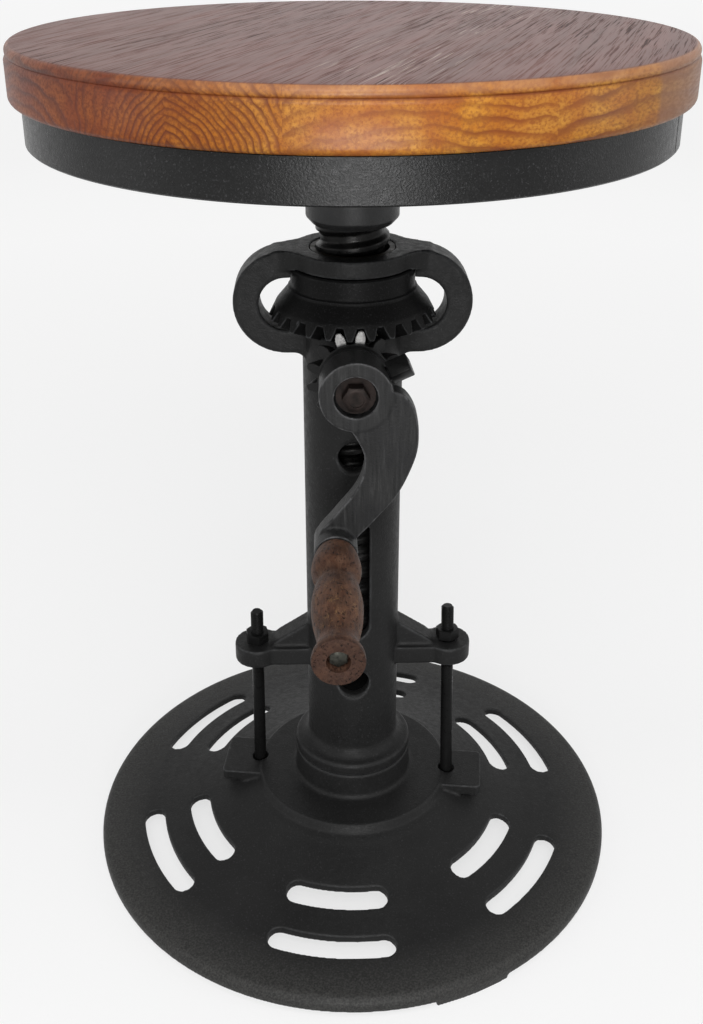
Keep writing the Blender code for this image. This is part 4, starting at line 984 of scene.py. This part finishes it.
def make_grip_bolt():
    """The bolt through the grip, its hex head sunk in the end recess."""
    start = -high("grip_bolt", 1)
    end = -low("grip_bolt", 1)
    thread_end = start + 24 * MM
    head_radius, head_height = 5 * MM, 4.5 * MM
    shank = thread("grip_bolt_skin", BOLT_RADIUS, 0.4 * MM, BOLT_PITCH, start, thread_end, GRIP_AXIS, 24)
    plain = rod("plain", BOLT_RADIUS, thread_end - 0.2 * MM, end - 3 * MM, 32, GRIP_AXIS)
    head = ease(rod("head", head_radius, end - head_height, end, 6, GRIP_AXIS), 0.4 * MM)
    return join_meshes(shank, [plain, head])


# Pieces of the seat
def make_seat_top():
    """The round top: a bead and quirk along its upper edge, a small round below."""
    bead, inset, round_low = 3.4 * MM, 0.7 * MM, 3 * MM
    top = [(SEAT_RADIUS * i / 10, SEAT_TOP) for i in range(10)]
    top += arc((SEAT_RADIUS - bead - inset, SEAT_TOP - bead), bead, 90, -30, 10)
    quirk = SEAT_TOP - 1.58 * bead
    side = [(SEAT_RADIUS - 1.5 * MM, quirk), (SEAT_RADIUS - inset, quirk - 0.8 * MM)]
    side += [(SEAT_RADIUS, quirk - 2.4 * MM), (SEAT_RADIUS, SEAT_LOW + 4 * MM)]
    side += arc((SEAT_RADIUS - round_low, SEAT_LOW + round_low), round_low, 0, -90, 6)
    made = turned("seat_skin", top + side + [(0, SEAT_LOW)], 192, False)
    return ease(made, 0.1 * MM, 80)


def make_hoop():
    """The rolled steel hoop, with its butt seam on the right."""
    lip, wall, seam_radius = 0.8 * MM, 3 * MM, 0.9 * MM
    profile = [
        (HOOP_RADIUS - wall, HOOP_TOP), (HOOP_RADIUS - lip, HOOP_TOP), (HOOP_RADIUS, HOOP_TOP - lip),
        (HOOP_RADIUS, HOOP_LOW + lip), (HOOP_RADIUS - lip, HOOP_LOW), (HOOP_RADIUS - wall, HOOP_LOW),
    ]
    hoop = turned("hoop_skin", profile, 192)
    seam = Matrix.Rotation(math.radians(-25), 4, "Z") @ Matrix.Translation((HOOP_RADIUS, 0, 0))
    groove = rod("seam", seam_radius, HOOP_LOW - 1 * MM, HOOP_TOP + 1 * MM, 8, seam)
    return shade(carve(hoop, [("DIFFERENCE", groove)]), 30)


def make_collar():
    """The plain sleeve between the screw and the seat plate, coned at its foot."""
    bore = SCREW_RADIUS + RUNNING_GAP
    profile = [
        (bore, COLLAR_TOP), (COLLAR_RADIUS, COLLAR_TOP), (COLLAR_RADIUS, COLLAR_LOW + 4.2 * MM),
        (COLLAR_RADIUS - 3.8 * MM, COLLAR_LOW), (bore, COLLAR_LOW),
    ]
    return ease(turned("collar_skin", profile, 96), 0.6 * MM)


def make_lift_screw():
    """The coarse screw that carries the seat."""
    depth = 2.6 * MM
    return thread("lift_screw_skin", SCREW_RADIUS, depth, LEAD, SCREW_LOW, SCREW_TOP, sides=96)


# Finishes
IRON = powder_coat("cast_powder_coat", edge_wear_and_highlight=0.25, rim=0.65)
HOOP_COAT = powder_coat("hoop_powder_coat", (0.004, 0.008), 1000, 0.5, (0.27, 0.36), fleck=0.9, gloss=0.22)
COLLAR_COAT = powder_coat("collar_coat", (0.008, 0.014), 1600, 0.3, (0.36, 0.46), 0.2, gloss=0.25)
GEAR_COAT = powder_coat("gear_coat", (0.004, 0.007), 1300, 0.3, (0.36, 0.48), 0.3, gloss=0.06)
ROD_BLACK = powder_coat("rod_black", (0.004, 0.008), 800, 0.12, (0.26, 0.4), fleck=0.08, gloss=0.08)
CRANK_COAT = brushed_coat("crank_coat")
OILED = steel("oiled_steel", (0.005, 0.005, 0.005), (0.018, 0.0175, 0.017), 0.34, 0.7)
RUST = steel("browned_steel", (0.004, 0.003, 0.0026), (0.02, 0.0135, 0.0115), 0.42, 0.5, 220)
PLAIN = steel("plain_steel", (0.012, 0.0125, 0.0105), (0.055, 0.055, 0.046), 0.45, 0.7, 420)
BRONZE = steel("oiled_bronze", (0.008, 0.006, 0.004), (0.03, 0.022, 0.012), 0.5, 0.3)
WOOD = stained_wood("stained_pine")
GRIP = grip_wood("grip_wood")
PINION = worn_pinion("worn_pinion")

dress(make_base(), "base_dome", IRON)
dress(make_column(), "column_casting", IRON)
for side, name in ((1, "right"), (-1, "left")):
    dress(make_tie_rod(f"tie_rod_skin_{name}", side), f"tie_rod_{name}", ROD_BLACK)
    turn, length, lift = rod_lean(side)
    seat = length + lift
    nut = hexagon(f"rod_nut_skin_{name}", BOLT_FLATS, seat, seat + NUT_HEIGHT, turn, NUT_BORE)
    dress(nut, f"rod_nut_{name}", ROD_BLACK)
dress(make_axle_bolt(), "axle_bolt", RUST)
dress(make_gear(), "bevel_gear", GEAR_COAT)
dress(make_pinion(), "bevel_pinion", PINION)
dress(make_crank_arm(), "crank_arm", CRANK_COAT)
dress(make_set_screw(), "crank_set_screw", ROD_BLACK)
dress(make_grip(), "wooden_grip", GRIP)
dress(make_grip_bolt(), "grip_bolt", PLAIN)
dress(make_lift_screw(), "lift_screw", OILED)
dress(make_collar(), "seat_collar", COLLAR_COAT)
dress(make_hoop(), "seat_hoop", HOOP_COAT)
dress(make_seat_top(), "seat_top", WOOD)

for node, material in (
    ("axle_washer", RUST), ("thrust_washer", PLAIN), ("screw_bush", BRONZE), ("guide_key", ROD_BLACK),
    ("grip_nut", ROD_BLACK), ("seat_plate", COLLAR_COAT),
):
    coat(frame["nodes"][node], material)
for number in range(1, 7):
    coat(frame["nodes"][f"seat_screw_{number}"], ROD_BLACK)


# Stage, light and camera
def seen_rays(tree):
    """One where a ray shows the background: straight to the camera, or in a reflection."""
    path = tree.nodes.new("ShaderNodeLightPath")
    seen = path.outputs["Is Camera Ray"]
    for kind in ("Is Glossy Ray", "Is Transmission Ray"):
        either = tree.nodes.new("ShaderNodeMath")
        either.operation = "MAXIMUM"
        tree.links.new(seen, either.inputs[0])
        tree.links.new(path.outputs[kind], either.inputs[1])
        seen = either.outputs["Value"]
    return seen


def make_stage():
    """A pale floor that stays even with distance and takes the stool's shadow."""
    tone, fade_length = 0.24, 8.0
    bpy.ops.mesh.primitive_plane_add(size=40, location=(0, 0, 0))
    floor = bpy.context.object
    floor.name = "floor"
    s = Shader("pale_floor")
    tree = s.tree
    matt = s.add("BsdfDiffuse", Color=(tone, tone, tone, 1))
    far = s.math("DIVIDE", s.length(s.place), fade_length)
    level = s.grey(far, [(0.03, 0.70), (0.19, 0.79), (0.65, 0.845), (1.0, 0.86)])
    glow = s.add("Emission", Color=(1, 1, 1, 1))
    s.link(s.times(level, seen_rays(tree)), glow.inputs["Strength"])
    both = s.add("AddShader")
    s.link(matt.outputs[0], both.inputs[0])
    s.link(glow.outputs[0], both.inputs[1])
    s.link(both.outputs[0], tree.nodes["Material Output"].inputs["Surface"])
    tree.nodes.remove(s.surface)
    floor.data.materials.append(s.material)


def make_world():
    """Soft light from all round, and a plain pale background."""
    world = bpy.data.worlds.new("studio")
    bpy.context.scene.world = world
    world.use_nodes = True
    tree = world.node_tree
    tree.nodes.clear()
    out = tree.nodes.new("ShaderNodeOutputWorld")
    mix = tree.nodes.new("ShaderNodeMixShader")
    tree.links.new(seen_rays(tree), mix.inputs[0])
    soft_light, shown = 0.31, 0.915
    for slot, level in ((1, soft_light), (2, shown)):
        light = tree.nodes.new("ShaderNodeBackground")
        light.inputs["Color"].default_value = (level, level, level, 1)
        tree.links.new(light.outputs[0], mix.inputs[slot])
    tree.links.new(mix.outputs[0], out.inputs["Surface"])


def make_lamp(name, location, target, size, power):
    """A soft rectangular lamp that points at a target."""
    lamp = bpy.data.lights.new(name, "AREA")
    lamp.shape = "RECTANGLE"
    lamp.size, lamp.size_y = size
    lamp.energy = power
    holder = new_object(name, lamp)
    holder.location = location
    holder.rotation_euler = (Vector(target) - Vector(location)).to_track_quat("-Z", "Y").to_euler()


def make_camera():
    """The photograph's view: focal length and principal point in its 703 by 1024 pixels."""
    focal_px, centre_x_px, centre_y_px = 1210.14, 352.58, 430.0
    width_px, height_px = 703, 1024
    camera = bpy.data.cameras.new("photo_view")
    camera.sensor_width = 36
    camera.lens = focal_px * camera.sensor_width / height_px
    camera.shift_x = (width_px / 2 - centre_x_px) / height_px
    camera.shift_y = (centre_y_px - height_px / 2) / height_px
    holder = new_object("photo_view", camera)
    turn, tilt = math.radians(-1.4), math.radians(90 - 24.64)
    distance, height = 0.6514, 0.5859
    holder.location = (distance * math.sin(turn), -distance * math.cos(turn), height)
    holder.rotation_euler = (tilt, 0, turn)
    bpy.context.scene.camera = holder


make_stage()
make_world()
make_lamp("front_low", (0.01, -1.5, 0.3), (0, -0.1, 0.45), (0.65, 0.42), 12)
make_lamp("front_high", (0, -1.1, 1.3), (0, 0, 0.05), (0.9, 0.6), 11)
make_lamp("top_soft", (0, -0.25, 1.9), (0, 0, 0.3), (1.2, 1.0), 7)
make_lamp("left_soft", (-1.5, -0.5, 0.8), (0, 0, 0.35), (0.5, 1.2), 3.4)
make_lamp("right_soft", (1.5, -0.3, 0.8), (0, 0, 0.35), (0.5, 1.2), 3.4)
make_lamp("back_low", (0, 2.0, 0.84), (0, 0, 0.52), (2.2, 0.5), 2.1)
make_camera()
bpy.context.scene.view_settings.view_transform = "Standard"
